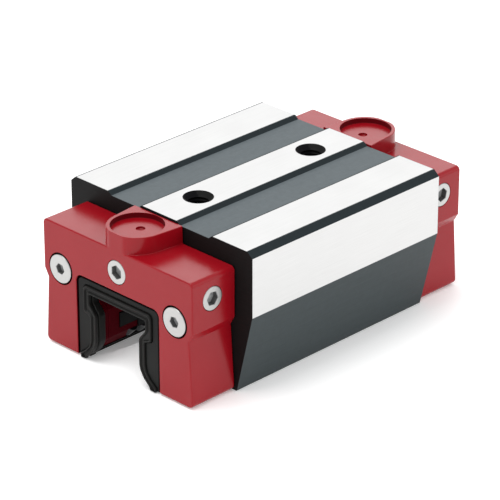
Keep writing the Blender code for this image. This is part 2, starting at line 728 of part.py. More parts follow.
def make_end_screw(end_name, end, side_name, side, parts, cutters):
    face = aimed((side * SCREW_X, end * (END_FACE + SCREW_HEAD_PROUD), SCREW_Z), (0, end, 0))
    cone = SCREW_HEAD_RADIUS - SCREW_SHANK_RADIUS
    profile = [
        (0, 0),
        (SCREW_HEAD_RADIUS, 0),
        (SCREW_HEAD_RADIUS, -SCREW_HEAD_EDGE),
        (SCREW_SHANK_RADIUS, -SCREW_HEAD_EDGE - cone),
        (SCREW_SHANK_RADIUS, -SCREW_LENGTH),
        (0, -SCREW_LENGTH),
    ]
    name = f"{end_name}_end_screw_{side_name}"
    screw = turned(name, profile, face, parts)
    cut(screw, hex_socket("key_" + name, SCREW_KEY, SCREW_KEY_DEPTH, face, cutters))
    return screw


def make_plug(name, face, parts, cutters):
    """A headless socket screw that closes a lubrication port."""
    inward = face @ Matrix.Rotation(math.pi, 4, "X")
    plug = rod(name, PLUG_RADIUS, PLUG_LENGTH, inward, parts)
    cut(plug, hex_socket("key_" + name, PLUG_KEY, PLUG_KEY_DEPTH, face, cutters))
    return plug


def make_plugs(end_name, end, parts, cutters):
    front = aimed((0, end * END_FACE, PLUG_Z), (0, end, 0))
    plugs = [make_plug(f"{end_name}_lube_plug", front, parts, cutters)]
    for side_name, side in SIDES:
        mouth = aimed((side * END_HALF_WIDTH, end * (END_FACE - SIDE_PLUG_FORWARD), PLUG_Z), (side, 0, 0))
        plugs.append(make_plug(f"{end_name}_side_lube_plug_{side_name}", mouth, parts, cutters))
    return plugs


def lip_path(offset):
    """The rail's outline from right foot over the head to left foot, moved outwards, with square feet."""
    path = offset_open(both_halves(RAIL_OUTLINE), offset)
    foot = path[0][0]
    return [(foot, END_BOTTOM), *path, (-foot, END_BOTTOM)]


def make_wiper(end_name, end, parts):
    """The end wiper: a stiff carrier that fills its seat, and a rubber lip that follows the rail."""
    back = END_FACE - WIPER_POCKET_DEPTH + FIT_GAP
    outline = both_halves(RAIL_OUTLINE) + list(reversed(lip_path(LIP_BAND)))
    depth = END_FACE + LIP_PROUD - back
    lip = flat_solid(f"{end_name}_wiper_lip", outline, depth, upright_frame(end * (back + depth / 2)), parts)

    outline = pocket_outline(FIT_GAP, END_BOTTOM) + list(reversed(lip_path(LIP_BAND + FIT_GAP)))
    depth = END_FACE - CARRIER_RECESS - back
    middle = upright_frame(end * (back + depth / 2))
    carrier = flat_solid(f"{end_name}_wiper_carrier", outline, depth, middle, parts)
    return lip, carrier


def make_roller_train(level, side_name, side, parts, cutters):
    """The rest of one endless row, joined: the stretch that lies in the turns and the return tube, and the
    loaded rollers between the separate ones, held by a thin cage band along their outer ends."""
    row = f"{level}_{side_name}"
    _, _, axis = row_geometry(level, side)
    frame = row_frame(level, side)
    loop = chain_outline(loop_centres(level))
    train = flat_mesh(f"roller_train_{row}", loop, ROLLER_LENGTH, frame, parts)
    for i in range(1, LOAD_ROLLERS - 1):
        if i % FREE_EVERY == FREE_FIRST + 1:
            outline = chain_outline([(load_place(i), 0), (load_place(i + 1), 0)])
            pair = flat_mesh(f"pair_{row}_{i}", outline, ROLLER_LENGTH, frame, cutters)
            join(train, pair, "MANIFOLD")
    reach = load_place(LOAD_ROLLERS - 1)
    strip = [(-reach, -BAND_HALF), (reach, -BAND_HALF), (reach, BAND_HALF), (-reach, BAND_HALF)]
    band_frame = frame.copy()
    band_frame.translation += axis * (ROLLER_LENGTH / 2 - BAND_INSET - BAND_THICKNESS / 2)
    join(train, flat_mesh(f"band_{row}", strip, BAND_THICKNESS, band_frame, cutters), "MANIFOLD")
    return train


def make_load_rollers(level, side_name, side, parts):
    """The separate loaded rollers of one row, each with its origin on its own axis."""
    centre, n, axis = row_geometry(level, side)
    spin = n.cross(Vector((0, 1, 0)))
    room = BAND_INSET + BAND_THICKNESS + FIT_GAP
    length = ROLLER_LENGTH - room
    middle = centre - axis * room / 2
    rollers = []
    for number, i in enumerate(range(FREE_FIRST, LOAD_ROLLERS, FREE_EVERY), 1):
        place = aimed(middle + Vector((0, load_place(i), 0)), spin)
        name = f"load_roller_{level}_{side_name}_{number}"
        rollers.append(rod(name, ROLLER_RADIUS, length, place, parts, centred=True))
    return rollers


def main():
    clear_scene()
    parts = new_collection("linear_guide_carriage")
    cutters = new_collection("cutters", hidden=True)
    steel = new_material("body_steel", (0.13, 0.15, 0.155), 0.45, 0.8)
    red = new_material("end_plate_plastic", (0.5, 0.03, 0.045), 0.3, 0.0)
    black = new_material("strip_plastic", (0.02, 0.02, 0.02), 0.5, 0.0)
    rubber = new_material("wiper_rubber", (0.025, 0.027, 0.026), 0.6, 0.0)
    zinc = new_material("screw_steel", (0.78, 0.78, 0.77), 0.35, 0.9)
    rolling = new_material("roller_steel", (0.6, 0.61, 0.62), 0.15, 1.0)

    coloured = {
        steel: [make_body(parts, cutters)],
        black: make_retainers(parts, cutters),
        red: [],
        rubber: [],
        zinc: [],
        rolling: [],
    }
    for level in LEVELS:
        for side_name, side in SIDES:
            coloured[black].append(make_return_tube(level, side_name, side, parts, cutters))
            coloured[rolling].append(make_roller_train(level, side_name, side, parts, cutters))
            coloured[rolling] += make_load_rollers(level, side_name, side, parts)
    for end_name, end in ENDS:
        coloured[red].append(make_end_plate(end_name, end, parts, cutters))
        lip, carrier = make_wiper(end_name, end, parts)
        coloured[rubber].append(lip)
        coloured[black].append(carrier)
        coloured[zinc] += make_plugs(end_name, end, parts, cutters)
        for side_name, side in SIDES:
            coloured[red].append(make_return_guide(end_name, end, side_name, side, parts, cutters))
            coloured[zinc].append(make_end_screw(end_name, end, side_name, side, parts, cutters))
    for material, objects in coloured.items():
        for obj in objects:
            obj.data.materials.append(material)


main()
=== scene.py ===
import json
import math

import bmesh
import bpy
from mathutils import Matrix, Vector


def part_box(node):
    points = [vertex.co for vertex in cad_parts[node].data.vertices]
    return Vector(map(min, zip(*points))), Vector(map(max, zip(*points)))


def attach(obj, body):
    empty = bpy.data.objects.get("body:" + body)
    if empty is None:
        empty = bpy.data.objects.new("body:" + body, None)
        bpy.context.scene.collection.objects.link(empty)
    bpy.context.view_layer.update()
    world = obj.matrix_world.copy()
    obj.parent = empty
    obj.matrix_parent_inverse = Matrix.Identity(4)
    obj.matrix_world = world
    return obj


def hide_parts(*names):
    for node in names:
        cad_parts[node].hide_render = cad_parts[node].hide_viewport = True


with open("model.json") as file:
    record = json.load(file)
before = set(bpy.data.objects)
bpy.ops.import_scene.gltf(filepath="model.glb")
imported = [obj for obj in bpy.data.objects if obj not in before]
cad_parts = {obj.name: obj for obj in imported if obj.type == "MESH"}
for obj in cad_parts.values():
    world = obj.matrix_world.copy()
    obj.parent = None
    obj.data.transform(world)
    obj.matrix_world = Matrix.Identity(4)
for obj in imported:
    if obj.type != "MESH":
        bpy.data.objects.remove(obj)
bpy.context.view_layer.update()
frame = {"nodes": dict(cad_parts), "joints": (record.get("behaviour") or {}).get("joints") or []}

# Metres: X across the carriage, Y along its rail with the front end at -Y, Z up from its underside
MM = 0.001

# Places and sizes read from the frame
_, BODY_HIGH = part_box("carriage_body")
PLATE_LOW, PLATE_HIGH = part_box("rear_end_plate")
GUIDE_LOW, GUIDE_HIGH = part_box("rear_return_guide_right")
LIP_LOW, LIP_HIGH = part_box("rear_wiper_lip")
CARRIER_LOW, CARRIER_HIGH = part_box("rear_wiper_carrier")
HALF_WIDTH = BODY_HIGH.x
SEAM = BODY_HIGH.y
BODY_TOP = BODY_HIGH.z
PLATE_BACK, PLATE_FACE = PLATE_LOW.y, PLATE_HIGH.y
PLATE_HALF = PLATE_HIGH.x
FLOOR_GAP = PLATE_LOW.z                  # the end plates hang this high above the body's underside
BOSS_TOP = PLATE_HIGH.z

# Body outline
EDGE_CHAMFER = (2.6 * MM, 2.2 * MM)      # how far it reaches in and down
SIDE_FACE_BOTTOM = 34.0 * MM
FOOT_HALF = 41.7 * MM
CENTRE_LAND_HALF = 9.8 * MM
DARK_EDGE = 0.5 * MM                     # the lands' edges keep the dark finish this far in
OUTER_LAND_START = 28.5 * MM
GROOVE_DEPTH = 1.4 * MM
GROOVE_SLOPE = 1.7 * MM
CHANNEL_CEILING = 31.5 * MM
CHANNEL_FOOT_HALF = 22.5 * MM
RAIL_CONTACT = (13.9 * MM, 22.85 * MM)   # middle of the line where the upper rollers touch the rail
RACE_GAP = 0.1 * MM                      # between a roller and the body's raceway
RACE_HALF = 3.0 * MM
ROW_MIRROR = 28.0 * MM                   # sum of the heights of two points that mirror each other in the rows
TABLE_HOLE_RADIUS = 5.0 * MM
TABLE_HOLE_MOUTH = 6.1 * MM              # radius of its countersink
TABLE_HOLE_CONE = 1.3 * MM               # depth of its countersink
TABLE_HOLE_PLACE = 31.2 * MM
TABLE_HOLE_DEPTH = 22.0 * MM
TABLE_HOLE_PITCH = 1.5 * MM
TABLE_HOLE_THREAD = 0.75 * MM            # height of its thread
RETURN_BORE_RADIUS = 5.0 * MM
TAPPED_HOLE_RADIUS, TAPPED_HOLE_DEPTH = 3.3 * MM, 14.0 * MM
RACEWAY_TOP = 23.0 * MM                  # the channel's walls are hardened up to this height, and darker there with painted shade
DARK_TOP = 3.0 * MM                      # the body's uppermost part, where all that isn't ground is darkest
NEAR = 0.2 * MM                          # a face this close to a surface of the body belongs to it

# End plate outline
PLATE_TOP = 53.1 * MM
WAIST_HALF = 39.2 * MM
STEP_TOP, STEP_BOTTOM = 32.0 * MM, 28.4 * MM
PLATE_FOOT_HALF = 41.0 * MM
SEAT_HALF, SEAT_TOP = 23.0 * MM, 35.4 * MM
SEAT_DEPTH = 5.5 * MM
GUIDE_DEPTH = GUIDE_HIGH.y - GUIDE_LOW.y
FOOT_NOTCH_INNER, FOOT_NOTCH_TOP = 15.5 * MM, 7.0 * MM
FOOT_NOTCH_LEAN = 12.4 * MM              # x - z along the notch's slanted side
MOUTH_HALF, MOUTH_TOP = 18.6 * MM, 31.0 * MM    # the channel's walls in the plate lie within these
SEAT_RADIUS = 6.6 * MM                   # of the screw heads' counterbores
SCREW_HOLE_RADIUS = 3.6 * MM
SCREW_HOLE_DEPTH = 24.0 * MM             # through the plate and past its back
BOSS_RADIUS = 12.0 * MM
BOSS_FORWARD = 11.35 * MM                # from the plate's face back to the boss's axis
BOSS_BACK_HALF = 13.2 * MM               # half its width where it meets the body
RECESS_RADIUS = 10.5 * MM
RECESS_DEPTH = 2.25 * MM
DIMPLE_FORWARD = 12.95 * MM
DIMPLE_RADIUS = 1.85 * MM
BOSS_DRAFT = 0.15 * MM
BOSS_FOOT = 0.2 * MM
BOSS_EDGE = 0.25 * MM
RECESS_EDGE = 0.15 * MM                  # radius of the recess's rim
SEAT_EDGE = 0.35 * MM                    # radius of the wiper seat's rim
SEAT_CORNER = 3.0 * MM                   # radius of the wiper seat's upper corners
COUNTERBORE_EDGE = 0.15 * MM
GUIDE_GAP = 0.25 * MM                    # between a return guide and its seat
PORT_RADIUS, PORT_DEPTH, PORT_EDGE = 5.05 * MM, 10.0 * MM, 0.2 * MM
PLATE_NEAR = 0.1 * MM                    # a face this close to a surface of the end plate belongs to it
CUT_PAST = 2.0 * MM                      # how far a cutter stands out past the face that it cuts

# Screws and plugs, along -Z from their face
SCREW_HEAD, SCREW_HEAD_EDGE = 5.95 * MM, 0.7 * MM
SCREW_RADIUS, SCREW_LENGTH = 3.0 * MM, 34.0 * MM
SCREW_PLAIN = 14.0 * MM                  # length of the smooth part of the shank
SCREW_KEY, SCREW_KEY_DEPTH = 4.0 * MM, 2.0 * MM
PLUG_RADIUS, PLUG_LENGTH = 4.9 * MM, 8.0 * MM
PLUG_KEY, PLUG_KEY_DEPTH = 5.0 * MM, 2.4 * MM
FINE_PITCH, FINE_THREAD = 1.0 * MM, 0.5 * MM

# Wiper: the rail's outline, which the lip's inner edge follows, and the lip's outer edge. Right half, foot to
# head: x, z and the corner's radius, all in mm.
LIP_INNER = [
    (18.0, 0.3, 0.0),
    (17.4, 1.5, 0.8),
    (14.7, 3.8, 3.0),
    (12.8, 6.7, 4.0),
    (12.1, 9.2, 4.0),
    (12.1, 20.4, 2.6),
    (15.7, 24.6, 2.4),
    (15.7, 29.0, 0.8),
]
LIP_OUTER = [
    (21.1, 0.3, 0.0),
    (21.2, 1.9, 0.8),
    (18.2, 4.2, 2.0),
    (16.0, 6.8, 3.0),
    (15.2, 9.6, 3.0),
    (15.2, 19.6, 1.0),
    (18.9, 20.9, 1.4),
    (18.9, 32.2, 2.2),
]
LIP_STEPS = 5
WIPER_GAP = 0.85 * MM                    # between the carrier and its seat in the end plate
LIP_GAP = 0.25 * MM                      # between the carrier and the lip

# Rows of rollers
ROLLER_RADIUS = 2.75 * MM
ROLLER_LENGTH = 5.2 * MM
SHORT_ROLLER_LENGTH = 4.35 * MM          # of the loaded ones, which leave room for the cage's side band
ROLLER_PITCH = 6.0 * MM
LOAD_ROLLERS = 15
FREE_EVERY = 3                           # one loaded roller in this many is free and has its own piece
RETURN_DISTANCE = 20.0 * MM
TURN_RADIUS = 4.4 * MM
TURN_START = {"lower": 0.3 * MM, "upper": 6.75 * MM}    # from the end plate's back
ROLLER_EDGE = 0.3 * MM
DISH_DEPTH = 0.1 * MM                    # of the hollow in each end of a roller
CAGE_ROOM = 0.12 * MM                    # between a roller and the cage
WEB_HEIGHT = 1.6 * MM
BAND_HALF = 1.5 * MM                     # half the height of the cage's side band
BAND_CORNER = 1.4 * MM
BAND_FACES = (0.15 * MM, 0.55 * MM)      # places of its two faces, down from the end of a full roller

LENS = 219.45
CAMERA_PLACE = (0.7636, -0.7706, 0.5584)
CAMERA_TILT = (63.919, 0.0, 44.849)

SIDES = (("left", -1), ("right", 1))
ENDS = (("front", -1), ("rear", 1))
LEVELS = ("upper", "lower")


# ================ outlines

def rounded(points, radii, steps):
    """The closed outline with each corner replaced by an arc: radii has one radius for each point."""
    made = []
    count = len(points)
    for i, radius in enumerate(radii):
        here = Vector(points[i])
        before, after = Vector(points[i - 1]) - here, Vector(points[(i + 1) % count]) - here
        if radius <= 0:
            made.append(tuple(here))
            continue
        half = before.angle(after) / 2
        reach = min(radius / math.tan(half), 0.49 * before.length, 0.49 * after.length)
        radius = reach * math.tan(half)
        start, end = here + before.normalized() * reach, here + after.normalized() * reach
        centre = here + (before.normalized() + after.normalized()).normalized() * (radius / math.sin(half))
        a0 = math.atan2(start.y - centre.y, start.x - centre.x)
        sweep = math.atan2(end.y - centre.y, end.x - centre.x) - a0
        sweep = (sweep + math.pi) % (2 * math.pi) - math.pi
        for k in range(steps + 1):
            angle = a0 + sweep * k / steps
            made.append((centre.x + radius * math.cos(angle), centre.y + radius * math.sin(angle)))
    return made


def offset(points, distance):
    """A closed outline moved inwards by distance, whichever way round it runs."""
    area = sum(a[0] * b[1] - b[0] * a[1] for a, b in zip(points, points[1:] + points[:1]))
    turn = 1 if area > 0 else -1
    made = []
    count = len(points)
    for i in range(count):
        here = Vector(points[i])
        before = (here - Vector(points[i - 1])).normalized()
        after = (Vector(points[(i + 1) % count]) - here).normalized()
        n1, n2 = Vector((-before.y, before.x)) * turn, Vector((-after.y, after.x)) * turn
        mitre = (n1 + n2).normalized()
        made.append(tuple(here + mitre * (distance / max(0.3, mitre.dot(n1)))))
    return made


def shifted(points, distance):
    """An open outline moved to the right of its direction of travel, with mitred corners."""
    made = []
    for i, point in enumerate(points):
        here = Vector(point)
        before = (here - Vector(points[i - 1])).normalized() if i else None
        after = (Vector(points[i + 1]) - here).normalized() if i < len(points) - 1 else None
        before = before or after
        after = after or before
        n1, n2 = Vector((before.y, -before.x)), Vector((after.y, -after.x))
        mitre = (n1 + n2).normalized()
        made.append(tuple(here + mitre * (distance / mitre.dot(n1))))
    return made


def mirrored(right):
    """A right half, first to last point, closed by its mirror image."""
    return right + [(-x, z) for x, z in reversed(right)]


def mirrored_radii(radii):
    return radii + list(reversed(radii))


def corner_radii(corners):
    """The radii all round a mirrored outline, from corners whose third value is a radius in mm."""
    return mirrored_radii([radius * MM for _, _, radius in corners])


def section(corners, steps):
    """The whole rounded outline, from its right half: x and z in metres, and the corner's radius in mm."""
    return rounded(mirrored([(x, z) for x, z, _ in corners]), corner_radii(corners), steps)


def quarter(radius, steps):
    """Points of the quarter circle that rounds an edge off, from (radius, 0) to (0, radius)."""
    angles = [math.pi / 2 * k / steps for k in range(steps + 1)]
    return [(radius * (1 - math.sin(a)), radius * (1 - math.cos(a))) for a in angles]


def edge_rings(low, high, radius, steps):
    """(place, inset) pairs for a solid from low to high whose end edges are rounded."""
    arc = quarter(radius, steps)
    return [(low + u, inset) for u, inset in reversed(arc)] + [(high - u, inset) for u, inset in arc]


def thread(radius, height, pitch, start, end, crest_end=1.0):
    """(radius, z) points of a thread's grooves, downwards from the depth start to the depth end. Each pitch
    ends with a crest that reaches to crest_end pitches."""
    points = []
    while start < end:
        points += [
            (radius - height, -start - pitch * 0.45),
            (radius - height, -start - pitch * 0.55),
            (radius, -start - pitch * 0.95),
            (radius, -start - pitch * crest_end),
        ]
        start += pitch
    return points


# ================ meshes

def stack(rings, place):
    """A closed solid through rings of equal point counts. place turns (point, height) into a 3D point."""
    work = bmesh.new()
    levels = [[work.verts.new(place(p, height)) for p in points] for height, points in rings]
    count = len(levels[0])
    for low, high in zip(levels, levels[1:]):
        for i in range(count):
            j = (i + 1) % count
            work.faces.new((low[i], low[j], high[j], high[i]))
    work.faces.new(levels[0])
    work.faces.new(list(reversed(levels[-1])))
    bmesh.ops.recalc_face_normals(work, faces=work.faces)
    return work


def along_y(point, y):
    return (point[0], y, point[1])


def along_z(point, z):
    return (point[0], point[1], z)


def lathe(profile, segments):
    """A turned solid about Z. The profile is (radius, height) from axis to axis."""
    work = bmesh.new()
    rows = []
    for radius, height in profile:
        if radius < 1e-7:
            rows.append([work.verts.new((0, 0, height))] * segments)
        else:
            rows.append([
                work.verts.new((radius * math.cos(2 * math.pi * k / segments),
                                radius * math.sin(2 * math.pi * k / segments), height))
                for k in range(segments)
            ])
    for low, high in zip(rows, rows[1:]):
        for k in range(segments):
            j = (k + 1) % segments
            corners = []
            for v in (low[k], low[j], high[j], high[k]):
                if v not in corners:
                    corners.append(v)
            if len(corners) > 2:
                work.faces.new(corners)
    bmesh.ops.recalc_face_normals(work, faces=work.faces)
    return work


def new_object(name, data):
    """An object with this mesh, light or camera, in the scene."""
    made = bpy.data.objects.new(name, data)
    bpy.context.scene.collection.objects.link(made)
    return made


def discard(*pieces):
    for piece in pieces:
        bpy.data.objects.remove(piece)


def to_object(name, work, matrix=Matrix.Identity(4), materials=()):
    mesh = bpy.data.meshes.new(name)
    work.to_mesh(mesh)
    work.free()
    for material in materials:
        mesh.materials.append(material)
    piece = new_object(name, mesh)
    piece.matrix_world = matrix
    return piece


def combine(piece, cutters, operation="DIFFERENCE"):
    """Cuts every cutter out of the piece, or joins them on, and takes the cutters away."""
    for cutter in cutters:
        boolean = piece.modifiers.new("combine", "BOOLEAN")
        boolean.operation = operation
        boolean.object = cutter
    bpy.context.view_layer.update()
    graph = bpy.context.evaluated_depsgraph_get()
    mesh = bpy.data.meshes.new_from_object(piece.evaluated_get(graph))
    mesh.name = piece.data.name
    piece.modifiers.clear()
    piece.data = mesh
    discard(*cutters)


def keep_flats(piece):
    """Normals that leave flat faces flat beside rounded edges."""
    weighted = piece.modifiers.new("flat_faces", "WEIGHTED_NORMAL")
    weighted.keep_sharp = True
    weighted.weight = 100


def shade(piece, angle=32):
    """Smooth shading over rounded edges, with flat faces kept flat."""
    piece.data.shade_smooth()
    piece.data.set_sharp_from_angle(angle=math.radians(angle))
    keep_flats(piece)
    return piece


def paint(piece, materials, choose):
    """Gives the piece its materials, and each face the one that choose returns for its centre and normal."""
    for material in materials:
        piece.data.materials.append(material)
    for face in piece.data.polygons:
        face.material_index = materials.index(choose(face.center, face.normal))


def aimed(origin, direction):
    """The matrix that carries the origin and Z to this place and direction."""
    turned = Vector(direction).to_track_quat("Z", "X").to_matrix().to_4x4()
    turned.translation = Vector(origin)
    return turned


def middle_of(node):
    low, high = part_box(node)
    return (low + high) / 2


def face_of(node, axis, way):
    """The middle of the side of the node's box that looks along the axis (0 to 2) in this way (1 or -1)."""
    low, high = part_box(node)
    place = (low + high) / 2
    place[axis] = (high if way > 0 else low)[axis]
    return place


def finish_piece(piece, body, slot, *nodes):
    """The piece rides this body and stands in for these CAD nodes. The slot is not used."""
    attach(piece, body)
    if nodes:
        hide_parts(*nodes)


def copy_of(pattern, name, matrix, body, slot, *nodes):
    """Another object with the pattern's mesh and its flat-face normals."""
    piece = new_object(name, pattern.data)
    piece.matrix_world = matrix
    keep_flats(piece)
    finish_piece(piece, body, slot, *nodes)


# ================ materials

def new_material(name, colour, roughness, metallic, specular=0.5):
    """A Principled material and what its node graph is built with."""
    material = bpy.data.materials.new(name)
    material.use_nodes = True
    tree = material.node_tree
    shader = tree.nodes["Principled BSDF"]
    shader.inputs["Base Color"].default_value = (*colour, 1.0)
    shader.inputs["Roughness"].default_value = roughness
    shader.inputs["Metallic"].default_value = metallic
    shader.inputs["Specular IOR Level"].default_value = specular
    return material, tree, shader


def texture_space(tree, scale=(1, 1, 1)):
    """Object coordinates in metres, scaled."""
    coordinates = tree.nodes.new("ShaderNodeTexCoord")
    mapping = tree.nodes.new("ShaderNodeMapping")
    mapping.inputs["Scale"].default_value = scale
    tree.links.new(coordinates.outputs["Object"], mapping.inputs["Vector"])
    return mapping.outputs["Vector"]


def noise(tree, vector, scale, detail, roughness=0.55):
    node = tree.nodes.new("ShaderNodeTexNoise")
    node.inputs["Scale"].default_value = scale
    node.inputs["Detail"].default_value = detail
    node.inputs["Roughness"].default_value = roughness
    tree.links.new(vector, node.inputs["Vector"])
    return node.outputs["Fac"]


def ranged(tree, value, low, high):
    """The middle part of a noise value's range stretched to run from low to high."""
    node = tree.nodes.new("ShaderNodeMapRange")
    node.inputs["From Min"].default_value = 0.3
    node.inputs["From Max"].default_value = 0.7
    node.inputs["To Min"].default_value = low
    node.inputs["To Max"].default_value = high
    tree.links.new(value, node.inputs["Value"])
    return node.outputs["Result"]


def mixed(tree, factor, one, other):
    """A colour between two, by the factor."""
    node = tree.nodes.new("ShaderNodeMix")
    node.data_type = "RGBA"
    node.inputs[6].default_value = (*one, 1.0)
    node.inputs[7].default_value = (*other, 1.0)
    tree.links.new(factor, node.inputs[0])
    return node.outputs[2]


def vary_colour(tree, shader, value, one, other):
    tree.links.new(mixed(tree, ranged(tree, value, 0, 1), one, other), shader.inputs["Base Color"])


def vary_roughness(tree, shader, value, low, high):
    tree.links.new(ranged(tree, value, low, high), shader.inputs["Roughness"])


def bump(tree, shader, height, distance, strength):
    node = tree.nodes.new("ShaderNodeBump")
    node.inputs["Distance"].default_value = distance
    node.inputs["Strength"].default_value = strength
    tree.links.new(height, node.inputs["Height"])
    tree.links.new(node.outputs["Normal"], shader.inputs["Normal"])


def moulded_plastic(name, deep, pale, roughness, specular):
    """Injection-moulded plastic: faint flow clouds, a fine spark-eroded grain and slightly uneven gloss."""
    material, tree, shader = new_material(name, deep, roughness, 0.0, specular)
    space = texture_space(tree)
    vary_colour(tree, shader, noise(tree, space, 38, 4), deep, pale)
    vary_roughness(tree, shader, noise(tree, space, 120, 3), roughness - 0.02, roughness + 0.04)
    bump(tree, shader, noise(tree, space, 900, 2, 0.5), 0.000004, 0.35)
    return material


def ground_steel(name, colour, roughness, across):
    """A surface-ground face: fine parallel scratches along the grinding direction. across is the scale that
    squeezes the noise: large across the scratches and small along them."""
    material, tree, shader = new_material(name, colour, roughness, 1.0)
    lines = noise(tree, texture_space(tree, across), 1.0, 5, 0.7)
    patches = noise(tree, texture_space(tree), 60, 3)
    vary_colour(tree, shader, lines, tuple(c * 0.9 for c in colour), colour)
    vary_roughness(tree, shader, patches, roughness - 0.015, roughness + 0.02)
    bump(tree, shader, lines, 0.000004, 0.5)
    return material


def blackened_steel(name, colour, roughness, across, metallic=0.0, specular=0.15, depth=0.00001):
    """Milled steel with a dark finish: directional tool marks under a fine mottled oxide."""
    material, tree, shader = new_material(name, colour, roughness, metallic, specular)
    marks = noise(tree, texture_space(tree, across), 1.0, 4, 0.65)
    mottle = noise(tree, texture_space(tree), 420, 4, 0.6)
    vary_colour(tree, shader, mottle, colour, tuple(c * 1.18 for c in colour))
    vary_roughness(tree, shader, marks, roughness - 0.05, roughness + 0.08)
    bump(tree, shader, marks, depth, 0.5)
    return material


def plated_steel(name, colour, roughness):
    """Bright zinc: pale, slightly hazy, with tiny crystals."""
    material, tree, shader = new_material(name, colour, roughness, 1.0)
    space = texture_space(tree)
    haze = noise(tree, space, 300, 4)
    vary_colour(tree, shader, haze, tuple(c * 0.93 for c in colour), colour)
    vary_roughness(tree, shader, haze, roughness - 0.05, roughness + 0.07)
    bump(tree, shader, noise(tree, space, 3000, 2), 0.000003, 0.5)
    return material


def moulded_rubber(name, colour, roughness, specular):
    """Matte rubber with a dusty bloom and a fine pebbled skin."""
    material, tree, shader = new_material(name, colour, roughness, 0.0, specular)
    space = texture_space(tree)
    bloom = noise(tree, space, 150, 4)
    vary_colour(tree, shader, bloom, colour, tuple(c * 1.5 for c in colour))
    vary_roughness(tree, shader, bloom, roughness - 0.05, roughness + 0.08)
    bump(tree, shader, noise(tree, space, 3500, 2), 0.00001, 0.5)
    return material


ALONG_Y = (5200, 45, 5200)
ALONG_X = (45, 5200, 5200)
ALONG_Z = (5200, 5200, 45)

RED = moulded_plastic("red_moulded_plastic", (0.272, 0.002, 0.007), (0.290, 0.004, 0.010), 0.22, 0.29)
# Darker red that paints shade onto the wall of the boss's recess
RED_PAINTED_RECESS_SHADE = moulded_plastic(
    "red_plastic_painted_recess_shade", (0.110, 0.001, 0.004), (0.120, 0.002, 0.005), 0.35, 0.12)
# Darker red that paints shade onto the return guides and the channel's walls inside the plate
RED_PAINTED_CHANNEL_SHADE = moulded_plastic("red_guide_plastic_painted_shade", (0.066, 0.001, 0.004), (0.074, 0.001, 0.005), 0.5, 0.02)
LAND = ground_steel("ground_steel_lands", (0.48, 0.48, 0.478), 0.33, ALONG_Y)
SIDE = ground_steel("ground_steel_sides", (0.65, 0.65, 0.645), 0.36, ALONG_Y)
GROOVE = blackened_steel("milled_groove_floor", (0.062, 0.079, 0.087), 0.5, ALONG_Y, 0.1, 0.3, 0.00002)
WALL = blackened_steel("milled_groove_wall", (0.010, 0.016, 0.019), 0.5, ALONG_Y)
UNDERCUT = blackened_steel("milled_undercut", (0.023, 0.033, 0.036), 0.45, ALONG_Y, 0.1, 0.3)
END_BLACK = blackened_steel("blackened_end_face", (0.004, 0.004, 0.004), 0.6, ALONG_X)
HOLE = blackened_steel("bored_hole", (0.004, 0.004, 0.005), 0.5, ALONG_Z, 0.0, 0.05)
# Ground steel darkened to paint the channel's shade onto its raceways
RACEWAY_PAINTED_SHADE = ground_steel("hardened_raceway_painted_shade", (0.22, 0.22, 0.225), 0.30, ALONG_Y)
CARRIER = moulded_plastic(
    "black_carrier_plastic", (0.009, 0.0095, 0.009), (0.012, 0.0125, 0.012), 0.42, 0.08)
STRIP = moulded_plastic("black_strip_plastic", (0.005, 0.005, 0.005), (0.007, 0.007, 0.007), 0.45, 0.1)
RUBBER = moulded_rubber("wiper_rubber", (0.0065, 0.0065, 0.006), 0.45, 0.16)
ZINC = plated_steel("zinc_plated_steel", (0.50, 0.50, 0.49), 0.34)
# Darker copies of the zinc that paint shade into the hex socket and onto the screw's side below its head
SOCKET_PAINTED_SHADE = blackened_steel("socket_walls_painted_shade", (0.16, 0.16, 0.16), 0.4, ALONG_Z, 0.6, 0.5)
SOCKET_FLOOR_PAINTED_SHADE = plated_steel("socket_floor_painted_shade", (0.36, 0.37, 0.37), 0.5)
COLLAR_PAINTED_SHADE = blackened_steel("screw_collar_painted_shade", (0.008, 0.008, 0.008), 0.5, ALONG_Z, 0.0, 0.1)
# Near-black red that paints shade onto the walls of the gaps round the screw heads and the wiper
POCKET_PAINTED_SHADE = moulded_plastic("shadowed_red_plastic", (0.012, 0.001, 0.001), (0.016, 0.001, 0.002), 0.5, 0.1)
# Roller steel darkened to paint the channel's shade onto the rollers
BEARING_PAINTED_SHADE = plated_steel("bearing_steel_painted_shade", (0.075, 0.078, 0.08), 0.3)
CAGE = moulded_plastic("cage_plastic", (0.03, 0.03, 0.028), (0.04, 0.04, 0.038), 0.4, 0.2)


# ================ steel body

